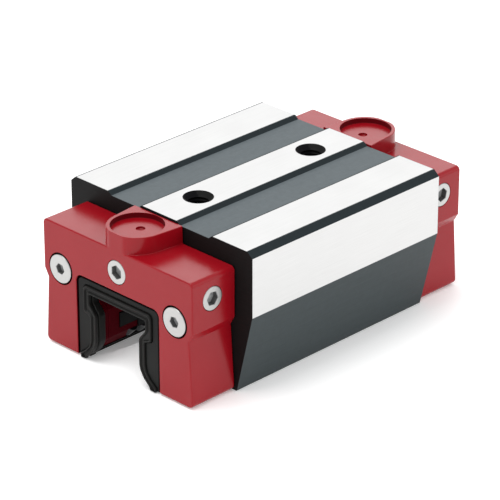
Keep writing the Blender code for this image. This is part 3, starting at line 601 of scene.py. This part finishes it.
def body_corners():
    """Right half of the body's section: x and z in metres, and the corner's radius in mm."""
    axis = Vector((math.sqrt(0.5), math.sqrt(0.5)))
    n = Vector((math.sqrt(0.5), -math.sqrt(0.5)))
    race = Vector(RAIL_CONTACT) + n * (2 * ROLLER_RADIUS + RACE_GAP)
    inner, outer = race - axis * RACE_HALF, race + axis * RACE_HALF
    return [
        (CENTRE_LAND_HALF - DARK_EDGE, BODY_TOP, 0.0),
        (CENTRE_LAND_HALF, BODY_TOP, 0.15),
        (CENTRE_LAND_HALF + GROOVE_SLOPE, BODY_TOP - GROOVE_DEPTH, 0.5),
        (OUTER_LAND_START - GROOVE_SLOPE, BODY_TOP - GROOVE_DEPTH, 0.5),
        (OUTER_LAND_START, BODY_TOP, 0.15),
        (OUTER_LAND_START + DARK_EDGE, BODY_TOP, 0.0),
        (HALF_WIDTH - EDGE_CHAMFER[0] - DARK_EDGE, BODY_TOP, 0.0),
        (HALF_WIDTH - EDGE_CHAMFER[0], BODY_TOP, 0.15),
        (HALF_WIDTH, BODY_TOP - EDGE_CHAMFER[1], 0.2),
        (HALF_WIDTH, SIDE_FACE_BOTTOM, 0.25),
        (FOOT_HALF, 0, 0.6),
        (CHANNEL_FOOT_HALF, 0, 0.5),
        (CHANNEL_FOOT_HALF, ROW_MIRROR - outer.y, 0.3),
        (outer.x, ROW_MIRROR - outer.y, 0.3),
        (inner.x, ROW_MIRROR - inner.y, 0.4),
        (inner.x, inner.y, 0.4),
        (outer.x, outer.y, 0.3),
        (outer.x, CHANNEL_CEILING, 0.8),
    ]


def body_material(centre, normal):
    """The material of one face of the body."""
    upwards, sideways = normal.z > 0.97, abs(normal.x) > 0.97
    from_hole = min((centre.xy - Vector((0, end * TABLE_HOLE_PLACE))).length for _, end in ENDS)
    in_table_hole = from_hole < TABLE_HOLE_MOUTH + NEAR and centre.z > CHANNEL_CEILING + 3 * MM
    if abs(normal.y) > 0.5:
        return END_BLACK
    if in_table_hole and normal.z < 0.99:
        return HOLE
    if upwards and centre.z > BODY_TOP - NEAR:
        edges = (CENTRE_LAND_HALF, OUTER_LAND_START, HALF_WIDTH - EDGE_CHAMFER[0])
        return WALL if min(abs(abs(centre.x) - edge) for edge in edges) < DARK_EDGE else LAND
    if sideways and abs(centre.x) > HALF_WIDTH - NEAR:
        return SIDE
    if upwards and centre.z > BODY_TOP - GROOVE_DEPTH - NEAR:
        return GROOVE
    if centre.z > BODY_TOP - DARK_TOP:
        return WALL
    # The channel's walls get the darker raceway steel of painted shade
    if abs(centre.x) < CHANNEL_FOOT_HALF + 0.5 * MM and centre.z < RACEWAY_TOP:
        return RACEWAY_PAINTED_SHADE
    return UNDERCUT


def make_body():
    outline = section(body_corners(), 3)
    rings = [(y, offset(outline, inset)) for y, inset in edge_rings(-SEAM, SEAM, 0.12 * MM, 2)]
    body = to_object("steel_body", stack(rings, along_y))

    table_hole = [
        (0, 1 * MM),
        (7 * MM, 1 * MM),
        (7 * MM, 0),
        (TABLE_HOLE_MOUTH, 0),
        (TABLE_HOLE_RADIUS, -TABLE_HOLE_CONE),
        *thread(TABLE_HOLE_RADIUS, TABLE_HOLE_THREAD, TABLE_HOLE_PITCH, TABLE_HOLE_CONE,
                TABLE_HOLE_DEPTH - 2 * TABLE_HOLE_PITCH, 1.05),
        (TABLE_HOLE_RADIUS - TABLE_HOLE_THREAD, -TABLE_HOLE_DEPTH),
        (0, -TABLE_HOLE_DEPTH - 2.5 * MM),
    ]
    tapped_hole = [
        (0, 5 * MM),
        (3.9 * MM, 5 * MM),
        (3.9 * MM, 0),
        (TAPPED_HOLE_RADIUS, -0.6 * MM),
        (TAPPED_HOLE_RADIUS, -TAPPED_HOLE_DEPTH),
        (0, -TAPPED_HOLE_DEPTH - 2 * MM),
    ]
    past = SEAM + 1 * MM
    return_bore = [(0, past), (RETURN_BORE_RADIUS, past), (RETURN_BORE_RADIUS, -past), (0, -past)]
    cutters = []
    for end_name, end in ENDS:
        place = Matrix.Translation((0, end * TABLE_HOLE_PLACE, BODY_TOP))
        cutters.append(to_object(f"table_hole_{end_name}", lathe(table_hole, 48), place))
        for side_name, _ in SIDES:
            middle = middle_of(f"{end_name}_end_screw_{side_name}")
            place = aimed((middle.x, end * SEAM, middle.z), (0, end, 0))
            cutters.append(to_object(f"tapped_hole_{end_name}_{side_name}", lathe(tapped_hole, 32), place))
    for level in LEVELS:
        for side_name, _ in SIDES:
            middle = middle_of(f"return_tube_{level}_{side_name}")
            place = aimed((middle.x, 0, middle.z), (0, 1, 0))
            cutters.append(to_object(f"return_bore_{level}_{side_name}", lathe(return_bore, 40), place))
    combine(body, cutters)
    paint(body, (LAND, SIDE, GROOVE, WALL, END_BLACK, HOLE, UNDERCUT, RACEWAY_PAINTED_SHADE), body_material)
    shade(body)
    finish_piece(body, "carriage", "body_steel", "carriage_body")


# ================ end plates

def plate_corners():
    """Right half of the end plate's section: x and z in metres, and the corner's radius in mm."""
    return [
        (PLATE_HALF, PLATE_TOP, 1.9),
        (PLATE_HALF, STEP_TOP, 0.8),
        (WAIST_HALF, STEP_BOTTOM, 0.8),
        (PLATE_FOOT_HALF, FLOOR_GAP, 2.0),
        (18.4 * MM, FLOOR_GAP, 0.8),
        (13.1 * MM, 8.3 * MM, 1.5),
        (13.1 * MM, 20.6 * MM, 1.5),
        (16.7 * MM, 25.2 * MM, 1.0),
        (16.7 * MM, 30.2 * MM, 1.0),
    ]


def boss_ring(grow):
    """The boss from above at the front end, made larger all round but never past the plate's face."""
    radius, back_half = BOSS_RADIUS + grow, BOSS_BACK_HALF + grow
    centre_y = -(PLATE_FACE - BOSS_FORWARD)
    back_y = -(SEAM + 0.5 * MM)
    reach = back_y - centre_y
    start = math.atan2(reach, back_half) - math.acos(radius / math.hypot(back_half, reach))
    ring = [(back_half, back_y)]
    steps = 48
    for k in range(steps + 1):
        angle = start - (math.pi + 2 * start) * k / steps
        ring.append((radius * math.cos(angle), max(-PLATE_FACE, centre_y + radius * math.sin(angle))))
    return ring + [(-back_half, back_y)]


def mouth(radius, edge, depth):
    """Profile of a round cutter with a rounded rim, from above the face down to depth and its flat floor."""
    rim = [(radius + u, -v) for u, v in quarter(edge, 4)]
    floor = [(radius, 0.3 * MM - depth), (radius - 0.09 * MM, 0.09 * MM - depth), (radius - 0.3 * MM, -depth)]
    return [(0, CUT_PAST), (radius + edge, CUT_PAST), *rim, *floor, (0, -depth)]


def in_dark_seat(centre, normal):
    """Whether a face of the front plate is a wall of the gap round a screw's head or round the wiper, which
    gets painted shade.
    """
    if centre.y < -(PLATE_FACE - PLATE_NEAR) or abs(normal.y) > 0.99:
        return False
    if -(PLATE_FACE - 0.3 * MM) < centre.y < -(PLATE_FACE - SEAT_DEPTH):
        x = abs(centre.x)
        beside = abs(x - SEAT_HALF) < PLATE_NEAR and centre.z < SEAT_TOP
        above = x < SEAT_HALF and SEAT_TOP - SEAT_CORNER < centre.z < SEAT_TOP + PLATE_NEAR
        if beside or above:
            return True
    screw = middle_of("front_end_screw_right")
    return math.hypot(abs(centre.x) - screw.x, centre.z - screw.z) < SEAT_RADIUS + PLATE_NEAR


def plate_material(centre, normal):
    """The material of one face of the front plate."""
    if in_dark_seat(centre, normal):
        return POCKET_PAINTED_SHADE
    # The channel's walls inside the plate get the darker red of painted shade
    if abs(centre.x) < MOUTH_HALF and centre.z < MOUTH_TOP and abs(normal.y) < 0.5:
        return RED_PAINTED_CHANNEL_SHADE
    from_boss = math.hypot(centre.x, centre.y + PLATE_FACE - BOSS_FORWARD)
    on_recess_wall = abs(from_boss - RECESS_RADIUS) < PLATE_NEAR and centre.z > BOSS_TOP - RECESS_DEPTH
    # The recess's wall gets the darker red of painted shade
    return RED_PAINTED_RECESS_SHADE if on_recess_wall and normal.z < 0.5 else RED


def plate_cutters():
    """The front plate's recess, wiper seat, screw holes, ports, guide seats and foot notches."""
    place = Matrix.Translation((0, -(PLATE_FACE - BOSS_FORWARD), BOSS_TOP))
    cutters = [to_object("recess", lathe(mouth(RECESS_RADIUS, RECESS_EDGE, RECESS_DEPTH), 96), place)]

    seat = mirrored([(SEAT_HALF, -2 * MM), (SEAT_HALF, SEAT_TOP)])
    seat = rounded(seat, mirrored_radii([0, SEAT_CORNER]), 10)
    levels = [
        (-(PLATE_FACE + CUT_PAST), -SEAT_EDGE),
        *((-(PLATE_FACE - v), -u) for u, v in quarter(SEAT_EDGE, 3)),
        (-(PLATE_FACE - SEAT_DEPTH), 0),
    ]
    cutters.append(to_object("wiper_seat", stack([(y, offset(seat, inset)) for y, inset in levels], along_y)))

    screw_hole = [
        (0, CUT_PAST),
        (SEAT_RADIUS + COUNTERBORE_EDGE, CUT_PAST),
        *((SEAT_RADIUS + u, -v) for u, v in quarter(COUNTERBORE_EDGE, 3)),
        (SEAT_RADIUS, -1.9 * MM),
        (SCREW_HOLE_RADIUS, -4.2 * MM),
        (SCREW_HOLE_RADIUS, -SCREW_HOLE_DEPTH),
        (0, -SCREW_HOLE_DEPTH),
    ]
    port = mouth(PORT_RADIUS, PORT_EDGE, PORT_DEPTH)
    inner, outer = 10 * MM, GUIDE_HIGH.x + GUIDE_GAP
    low, high = GUIDE_LOW.z - GUIDE_GAP, GUIDE_HIGH.z + GUIDE_GAP
    guide_seat = [(inner, low), (inner, high), (outer, high), (outer, low)]
    foot_notch = [
        (FOOT_NOTCH_TOP + FOOT_NOTCH_LEAN, FOOT_NOTCH_TOP),
        (FOOT_NOTCH_INNER, FOOT_NOTCH_INNER - FOOT_NOTCH_LEAN),
        (FOOT_NOTCH_INNER, -1 * MM),
        (CHANNEL_FOOT_HALF, -1 * MM),
        (CHANNEL_FOOT_HALF, FOOT_NOTCH_TOP),
    ]
    slots = (
        ("guide_seat", guide_seat, PLATE_BACK + GUIDE_DEPTH + GUIDE_GAP),
        ("foot_notch", foot_notch, PLATE_FACE - SEAT_DEPTH + 1 * MM),
    )
    for side_name, side in SIDES:
        middle = middle_of(f"front_end_screw_{side_name}")
        place = aimed((middle.x, -PLATE_FACE, middle.z), (0, -1, 0))
        cutters.append(to_object(f"screw_hole_{side_name}", lathe(screw_hole, 64), place))
        middle = middle_of(f"front_side_lube_plug_{side_name}")
        place = aimed((side * PLATE_HALF, middle.y, middle.z), (side, 0, 0))
        cutters.append(to_object(f"side_port_{side_name}", lathe(port, 64), place))
        for name, right, reach in slots:
            outline = [(side * x, z) for x, z in right]
            rings = [(-reach, outline), (-(PLATE_BACK - 1 * MM), outline)]
            cutters.append(to_object(f"{name}_{side_name}", stack(rings, along_y)))
    place = aimed((0, -PLATE_FACE, middle_of("front_lube_plug").z), (0, -1, 0))
    cutters.append(to_object("front_port", lathe(port, 64), place))
    return cutters


def make_end_plates():
    outline = section(plate_corners(), 5)
    rings = [(-y, offset(outline, inset)) for y, inset in edge_rings(PLATE_BACK, PLATE_FACE, 0.6 * MM, 4)]
    plate = to_object("front_plate", stack(rings, along_y))

    # The boss has a flared foot, a slight draft and a rounded rim
    levels = [
        (PLATE_TOP - 2 * MM, BOSS_DRAFT + BOSS_FOOT),
        *((PLATE_TOP + v, BOSS_DRAFT + u) for u, v in quarter(BOSS_FOOT, 4)),
        *((BOSS_TOP - u, -v) for u, v in quarter(BOSS_EDGE, 4)),
    ]
    boss = to_object("boss", stack([(z, boss_ring(grow)) for z, grow in levels], along_z))
    combine(plate, [boss], "UNION")
    combine(plate, plate_cutters())
    dimple = [
        (0, 1 * MM),
        (DIMPLE_RADIUS, 1 * MM),
        (DIMPLE_RADIUS, -0.9 * MM),
        (DIMPLE_RADIUS - 0.5 * MM, -1.2 * MM),
        (0, -1.5 * MM),
    ]
    place = Matrix.Translation((0, -(PLATE_FACE - DIMPLE_FORWARD), BOSS_TOP - RECESS_DEPTH))
    combine(plate, [to_object("dimple", lathe(dimple, 48), place)])
    paint(plate, (RED, POCKET_PAINTED_SHADE, RED_PAINTED_RECESS_SHADE, RED_PAINTED_CHANNEL_SHADE), plate_material)
    shade(plate, 40)
    finish_piece(plate, "carriage", "end_plate_plastic", "front_end_plate")
    copy_of(plate, "rear_plate", Matrix.Rotation(math.pi, 4, "Z"), "carriage", "end_plate_plastic",
            "rear_end_plate")


# ================ screws and plugs

def hex_cutter(across_flats, depth):
    """A hexagonal socket with a chamfered mouth and a drilled cone at the bottom."""
    corner = across_flats / math.sqrt(3)

    def ring(radius, z):
        return z, [(radius * math.cos(math.pi / 3 * k), radius * math.sin(math.pi / 3 * k)) for k in range(6)]

    rings = [
        ring(corner + 0.25 * MM, 1 * MM),
        ring(corner + 0.25 * MM, 0.1 * MM),
        ring(corner, -0.2 * MM),
        ring(corner, -depth),
        ring(corner * 0.12, -depth - corner * 0.3),
    ]
    return to_object("key", stack(rings, along_z))


def socketed(name, profile, key, key_depth, reach, depth, collar):
    """A zinc plated screw with this profile and a hexagonal socket. Faces within reach of the axis and less
    than depth down are the socket's, darker with painted shade, and those outside it and below collar are the
    screw's side, near-black with painted shade."""
    piece = to_object(name, lathe(profile, 64))
    combine(piece, [hex_cutter(key, key_depth)])

    def choose(centre, normal):
        out = math.hypot(centre.x, centre.y)
        if out < reach and -depth < centre.z < -0.02 * MM:
            return SOCKET_FLOOR_PAINTED_SHADE if normal.z > 0.5 else SOCKET_PAINTED_SHADE
        return COLLAR_PAINTED_SHADE if out > reach and centre.z < -collar else ZINC

    paint(piece, (ZINC, SOCKET_PAINTED_SHADE, SOCKET_FLOOR_PAINTED_SHADE, COLLAR_PAINTED_SHADE), choose)
    return shade(piece)


def make_screw():
    """A countersunk screw, threaded below the smooth part of its shank."""
    cone_end = SCREW_HEAD_EDGE + (SCREW_HEAD - SCREW_RADIUS)
    plain_end = cone_end + SCREW_PLAIN
    profile = [
        (0, 0),
        *((SCREW_HEAD - u, -v) for u, v in quarter(0.35 * MM, 4)),
        (SCREW_HEAD, -SCREW_HEAD_EDGE),
        (SCREW_RADIUS, -cone_end),
        (SCREW_RADIUS, -plain_end),
        *thread(SCREW_RADIUS, FINE_THREAD, FINE_PITCH, plain_end, SCREW_LENGTH - 1.5 * MM),
        (SCREW_RADIUS - 0.6 * MM, -SCREW_LENGTH),
        (0, -SCREW_LENGTH),
    ]
    return socketed("screw", profile, SCREW_KEY, SCREW_KEY_DEPTH, 2.7 * MM, 3.6 * MM, 0.3 * MM)


def make_plug():
    """A headless screw, threaded over its whole length."""
    profile = [
        (0, 0),
        *((PLUG_RADIUS - u, -v) for u, v in quarter(0.3 * MM, 3)),
        (PLUG_RADIUS, -FINE_PITCH),
        *thread(PLUG_RADIUS, FINE_THREAD, FINE_PITCH, FINE_PITCH, PLUG_LENGTH - 1.6 * MM),
        (PLUG_RADIUS - 0.7 * MM, -PLUG_LENGTH),
        (0, -PLUG_LENGTH),
    ]
    return socketed("plug", profile, PLUG_KEY, PLUG_KEY_DEPTH, 3.3 * MM, 5.4 * MM, 0.4 * MM)


def make_fasteners():
    """The screws and side plugs stand at a different turn of the key each, as if tightened by hand."""
    screw, plug = make_screw(), make_plug()
    for e, (end_name, end) in enumerate(ENDS):
        for s, (side_name, side) in enumerate(SIDES):
            node = f"{end_name}_end_screw_{side_name}"
            turn = Matrix.Rotation(math.radians(23 + 31 * e + 17 * s), 4, "Z")
            place = aimed(face_of(node, 1, end), (0, end, 0)) @ turn
            copy_of(screw, f"screw_{end_name}_{side_name}", place, "carriage", "screw_steel", node)
            node = f"{end_name}_side_lube_plug_{side_name}"
            turn = Matrix.Rotation(math.radians(12 + 25 * e + 9 * s), 4, "Z")
            place = aimed(face_of(node, 0, side), (side, 0, 0)) @ turn
            copy_of(plug, f"side_plug_{end_name}_{side_name}", place, "carriage", "screw_steel", node)
        node = f"{end_name}_lube_plug"
        place = aimed(face_of(node, 1, end), (0, end, 0))
        copy_of(plug, f"end_plug_{end_name}", place, "carriage", "screw_steel", node)
    discard(screw, plug)


# ================ wipers

def in_metres(corners):
    return [(x * MM, z * MM) for x, z, _ in corners]


def lip_ring(inner_inset, outer_inset):
    """The lip's band, from right foot over the head to left foot and back, with each edge moved in."""
    inner = shifted(mirrored(in_metres(LIP_INNER)), inner_inset)
    outer = shifted(mirrored(in_metres(LIP_OUTER)), -outer_inset)
    radii = corner_radii(LIP_INNER) + corner_radii(LIP_OUTER)
    return rounded(inner + list(reversed(outer)), radii, LIP_STEPS)


def carrier_ring(inset):
    """The carrier's plate between its seat and the lip, with both edges moved in."""
    half, top = SEAT_HALF - WIPER_GAP - inset, SEAT_TOP - WIPER_GAP - inset
    foot = CARRIER_LOW.z + inset
    seat = mirrored([(half, foot), (half, top)])
    lip = shifted(mirrored(in_metres(LIP_OUTER)), LIP_GAP + inset)
    lip[0], lip[-1] = (lip[0][0], foot), (lip[-1][0], foot)
    radii = mirrored_radii([0.0, SEAT_CORNER - WIPER_GAP - inset]) + corner_radii(LIP_OUTER)
    return rounded(seat + list(reversed(lip)), radii, LIP_STEPS)


def make_wipers():
    """Two sealing edges, one behind the other, in front of a stiff carrier plate."""
    back, face = LIP_LOW.y, LIP_HIGH.y
    profile = [                          # place, and how far the inner and the outer edge move in, in mm
        (back, 0.45, 0.35),
        (back + 0.15 * MM, 0.25, 0.1),
        (back + 0.45 * MM, 0.12, 0.0),
        (back + 2.9 * MM, 0.12, 0.0),
        (back + 3.2 * MM, 0.3, 0.0),
        (back + 3.3 * MM, 0.8, 0.0),
        (face - 1.7 * MM, 0.8, 0.0),
        (face - 1.6 * MM, 0.25, 0.0),
        (face - 1.3 * MM, 0.02, 0.0),
        (face - 0.55 * MM, 0.0, 0.0),
        (face - 0.28 * MM, 0.08, 0.08),
        (face - 0.08 * MM, 0.26, 0.26),
        (face, 0.5, 0.5),
        (face - 0.10 * MM, 0.72, 0.70),
        (face - 0.45 * MM, 0.90, 0.86),
        (face - 0.70 * MM, 1.05, 1.0),
    ]
    rings = [(y, lip_ring(inner * MM, outer * MM)) for y, inner, outer in profile]
    lip = to_object("wiper_lip_pattern", stack(rings, along_y), materials=(RUBBER,))
    shade(lip, 50)
    rings = [(y, carrier_ring(inset)) for y, inset in edge_rings(CARRIER_LOW.y, CARRIER_HIGH.y, 0.3 * MM, 3)]
    carrier = to_object("carrier_pattern", stack(rings, along_y), materials=(CARRIER,))
    shade(carrier, 50)
    for end_name, end in ENDS:
        turn = Matrix.Rotation(0 if end > 0 else math.pi, 4, "Z")
        copy_of(lip, f"wiper_edge_{end_name}", turn, "carriage", "wiper_rubber", f"{end_name}_wiper_lip")
        copy_of(carrier, f"wiper_plate_{end_name}", turn, "carriage", "wiper_carrier_plastic",
                f"{end_name}_wiper_carrier")
    discard(lip, carrier)


# ================ rollers

def roller_mesh(name, length, segments):
    """A polished roller along Z with rounded edges and a shallow dish in each end, darkened with painted
    shade.
    """
    end = length / 2
    half = [
        (0, end - DISH_DEPTH),
        (1.2 * MM, end - DISH_DEPTH),
        (1.4 * MM, end),
        *((ROLLER_RADIUS - u, end - v) for u, v in quarter(ROLLER_EDGE, 3)),
    ]
    whole = half + [(radius, -z) for radius, z in reversed(half)]
    return to_object(name, lathe(whole, segments), materials=(BEARING_PAINTED_SHADE,))


def loop_point(level, distance):
    """(along the rail, out from the loaded row) at this distance round a row's loop, from the middle of the
    loaded row to the middle of the return tube."""
    corner = PLATE_BACK + TURN_START[level]
    turn = math.pi / 2 * TURN_RADIUS
    across = RETURN_DISTANCE - 2 * TURN_RADIUS
    if distance < corner:
        return distance, 0.0
    distance -= corner
    if distance < turn:
        angle = distance / TURN_RADIUS
        return corner + TURN_RADIUS * math.sin(angle), TURN_RADIUS * (1 - math.cos(angle))
    distance -= turn
    if distance < across:
        return corner + TURN_RADIUS, TURN_RADIUS + distance
    distance -= across
    if distance < turn:
        angle = distance / TURN_RADIUS
        return corner + TURN_RADIUS * math.cos(angle), RETURN_DISTANCE - TURN_RADIUS * (1 - math.sin(angle))
    return corner - (distance - turn), RETURN_DISTANCE


def loop_centres(level):
    """Evenly spaced places from the last loaded roller round the loop to the first, with both of those."""
    start = ROLLER_PITCH * (LOAD_ROLLERS - 1) / 2
    corner = PLATE_BACK + TURN_START[level]
    half = 2 * corner + math.pi * TURN_RADIUS + RETURN_DISTANCE - 2 * TURN_RADIUS
    total = 2 * (half - start)
    gaps = int(total / ROLLER_PITCH)
    centres = []
    for i in range(gaps + 1):
        distance = start + total * i / gaps
        along, out = loop_point(level, min(distance, 2 * half - distance))
        centres.append((along if distance <= half else -along, out))
    return centres


def spacer(start, end, length):
    """The cage's web between two rollers of a row, hollowed to fit round both, in the row's own frame."""
    start, end = Vector((*start, 0)), Vector((*end, 0))
    reach = (end - start).length / 2
    room = ROLLER_RADIUS + CAGE_ROOM
    heights = [WEB_HEIGHT * k / 4 for k in range(-4, 5)]
    right = [(reach - math.sqrt(room ** 2 - v ** 2), v) for v in heights]
    outline = right + [(-u, v) for u, v in reversed(right)]
    matrix = (end - start).to_track_quat("X", "Z").to_matrix().to_4x4()
    matrix.translation = (start + end) / 2
    work = stack([(-length / 2, outline), (length / 2, outline)], along_z)
    bmesh.ops.transform(work, matrix=matrix, verts=work.verts)
    return work


def merged(name, parts, material, slot, *nodes):
    """A piece of the carriage made from many (bmesh, matrix) parts."""
    whole = bmesh.new()
    for work, matrix in parts:
        mesh = bpy.data.meshes.new("part")
        bmesh.ops.transform(work, matrix=matrix, verts=work.verts)
        work.to_mesh(mesh)
        work.free()
        whole.from_mesh(mesh)
        bpy.data.meshes.remove(mesh)
    piece = to_object(name, whole, materials=(material,))
    shade(piece)
    finish_piece(piece, "carriage", slot, *nodes)


def copied(pattern):
    work = bmesh.new()
    work.from_mesh(pattern.data)
    return work


def row_frame(level, side_name, side):
    """A row's own frame, with X along the rail, Y from the rail towards the return tube and Z along the
    rollers, and which way along Z (1 or -1) the cage's side band lies."""
    up = 1 if level == "upper" else -1
    along = Vector((0, 1, 0))
    out = Vector((side, 0, -up)).normalized()
    axis = along.cross(out)
    row = Matrix((along, out, axis)).transposed().to_4x4()
    row.translation = middle_of(f"return_tube_{level}_{side_name}") - out * RETURN_DISTANCE
    return row, Vector((side, 0, up)).normalized().dot(axis)


def make_roller_rows():
    """The rollers of each endless row that stay with the carriage, and the cage that keeps them apart."""
    full_roller = roller_mesh("full", ROLLER_LENGTH, 24)
    short_roller = roller_mesh("short", SHORT_ROLLER_LENGTH, 24)
    loaded = [(ROLLER_PITCH * (i - (LOAD_ROLLERS - 1) / 2), 0.0) for i in range(LOAD_ROLLERS)]
    first, last = loaded[0][0], loaded[-1][0]
    band = [(first, -BAND_HALF), (last, -BAND_HALF), (last, BAND_HALF), (first, BAND_HALF)]
    band = rounded(band, [BAND_CORNER] * 4, 4)
    for level in LEVELS:
        loop = loop_centres(level)
        for side_name, side in SIDES:
            row, way = row_frame(level, side_name, side)
            shift = Matrix.Translation((0, 0, way * -(ROLLER_LENGTH - SHORT_ROLLER_LENGTH) / 2))
            rollers = [(copied(full_roller), row @ Matrix.Translation((*place, 0))) for place in loop[1:-1]]
            for i, place in enumerate(loaded):
                if i % FREE_EVERY != 1:
                    rollers.append((copied(short_roller), row @ Matrix.Translation((*place, 0)) @ shift))
            webs = [(spacer(start, end, ROLLER_LENGTH - 0.4 * MM), row) for start, end in zip(loop, loop[1:])]
            for start, end in zip(loaded, loaded[1:]):
                webs.append((spacer(start, end, SHORT_ROLLER_LENGTH - 0.2 * MM), row @ shift))
            rings = [(way * (ROLLER_LENGTH / 2 - depth), band) for depth in BAND_FACES]
            webs.append((stack(rings, along_z), row))
            name = f"{level}_{side_name}"
            merged(f"row_{name}", rollers, BEARING_PAINTED_SHADE, "roller_steel", f"roller_train_{name}")
            merged(f"cage_{name}", webs, CAGE, "strip_plastic")
    discard(full_roller, short_roller)


def make_load_rollers():
    """Each loaded roller that spins by itself."""
    pattern = roller_mesh("roller", SHORT_ROLLER_LENGTH, 48)
    shade(pattern)
    for joint in frame["joints"]:
        node = joint["child"]
        place = aimed(joint["pos_m"], joint["axis"])
        copy_of(pattern, node.replace("load_roller", "roller"), place, node, "roller_steel", node)
    discard(pattern)


# ================ what stays from the frame

def keep_nodes():
    """CAD pieces whose shape is right: they get their material and softly rounded edges."""
    looks = {}
    for side_name, _ in SIDES:
        for end_name, _ in ENDS:
            # The return guides get the darker red of painted shade
            looks[f"{end_name}_return_guide_{side_name}"] = RED_PAINTED_CHANNEL_SHADE
        for strip in ("upper", "middle", "lower"):
            looks[f"{strip}_retainer_{side_name}"] = STRIP
        looks[f"side_wiper_{side_name}"] = RUBBER
        for level in LEVELS:
            looks[f"return_tube_{level}_{side_name}"] = STRIP
    for node, material in looks.items():
        piece = frame["nodes"][node]
        for slot in piece.material_slots:
            slot.material = material
        bevel = piece.modifiers.new("soft_edges", "BEVEL")
        bevel.width = 0.12 * MM
        bevel.segments = 2
        bevel.limit_method = "ANGLE"
        bevel.angle_limit = math.radians(40)


# ================ studio

def aim(light, place, target):
    """Puts the light at a place, shining at the target."""
    lamp = new_object(light.name, light)
    lamp.location = place
    lamp.rotation_mode = "QUATERNION"
    lamp.rotation_quaternion = (Vector(target) - Vector(place)).to_track_quat("-Z", "Y")


def softbox(name, place, target, size, watts):
    light = bpy.data.lights.new(name, "AREA")
    light.shape = "RECTANGLE"
    light.size, light.size_y = size
    light.energy = watts
    aim(light, place, target)


def make_floor():
    bpy.ops.mesh.primitive_plane_add(size=12, location=(0, 0, -0.1 * MM))
    floor = bpy.context.active_object
    floor.name = "floor"
    material, tree, shader = new_material("pale_floor", (0.96, 0.96, 0.96), 0.8, 0.0, 0.2)
    shader.inputs["Emission Color"].default_value = (1, 1, 1, 1)
    shader.inputs["Emission Strength"].default_value = 0.18
    clouds = noise(tree, texture_space(tree), 3, 2)
    colour = mixed(tree, clouds, (0.955, 0.955, 0.955), (0.965, 0.965, 0.965))
    tree.links.new(colour, shader.inputs["Base Color"])
    floor.data.materials.append(material)


def make_lights():
    world = bpy.data.worlds.new("studio")
    bpy.context.scene.world = world
    world.use_nodes = True
    background = world.node_tree.nodes["Background"]
    background.inputs["Color"].default_value = (1, 1, 1, 1)
    background.inputs["Strength"].default_value = 0.95

    # A narrow lamp that lights the floor inside the channel through its front opening
    narrow = bpy.data.lights.new("channel_lamp", "SPOT")
    narrow.energy = 25
    narrow.spot_size = math.radians(2.9)
    narrow.spot_blend = 0.6
    narrow.shadow_soft_size = 0.01
    aim(narrow, (0.03, -0.7, 0.22), (0, -PLATE_FACE, 12 * MM))

    softbox("key", (-0.25, -0.42, 1.7), (0, 0, 0), (0.9, 0.9), 13)
    softbox("back_right", (1.2, 0.9, 0.6), (0, 0, 0.03), (1.2, 0.8), 2)
    softbox("back_left", (-1.4, 1.4, 1.1), (0, 0, 0.03), (1.8, 1.2), 8.5)


def make_camera():
    camera = bpy.data.cameras.new("camera")
    camera.lens = LENS
    camera.sensor_width = 36
    camera.clip_start, camera.clip_end = 0.05, 50
    eye = new_object("camera", camera)
    eye.location = CAMERA_PLACE
    eye.rotation_euler = [math.radians(a) for a in CAMERA_TILT]
    bpy.context.scene.camera = eye
    bpy.context.scene.view_settings.view_transform = "Standard"


make_body()
make_end_plates()
make_fasteners()
make_wipers()
make_load_rollers()
make_roller_rows()
keep_nodes()
make_floor()
make_lights()
make_camera()
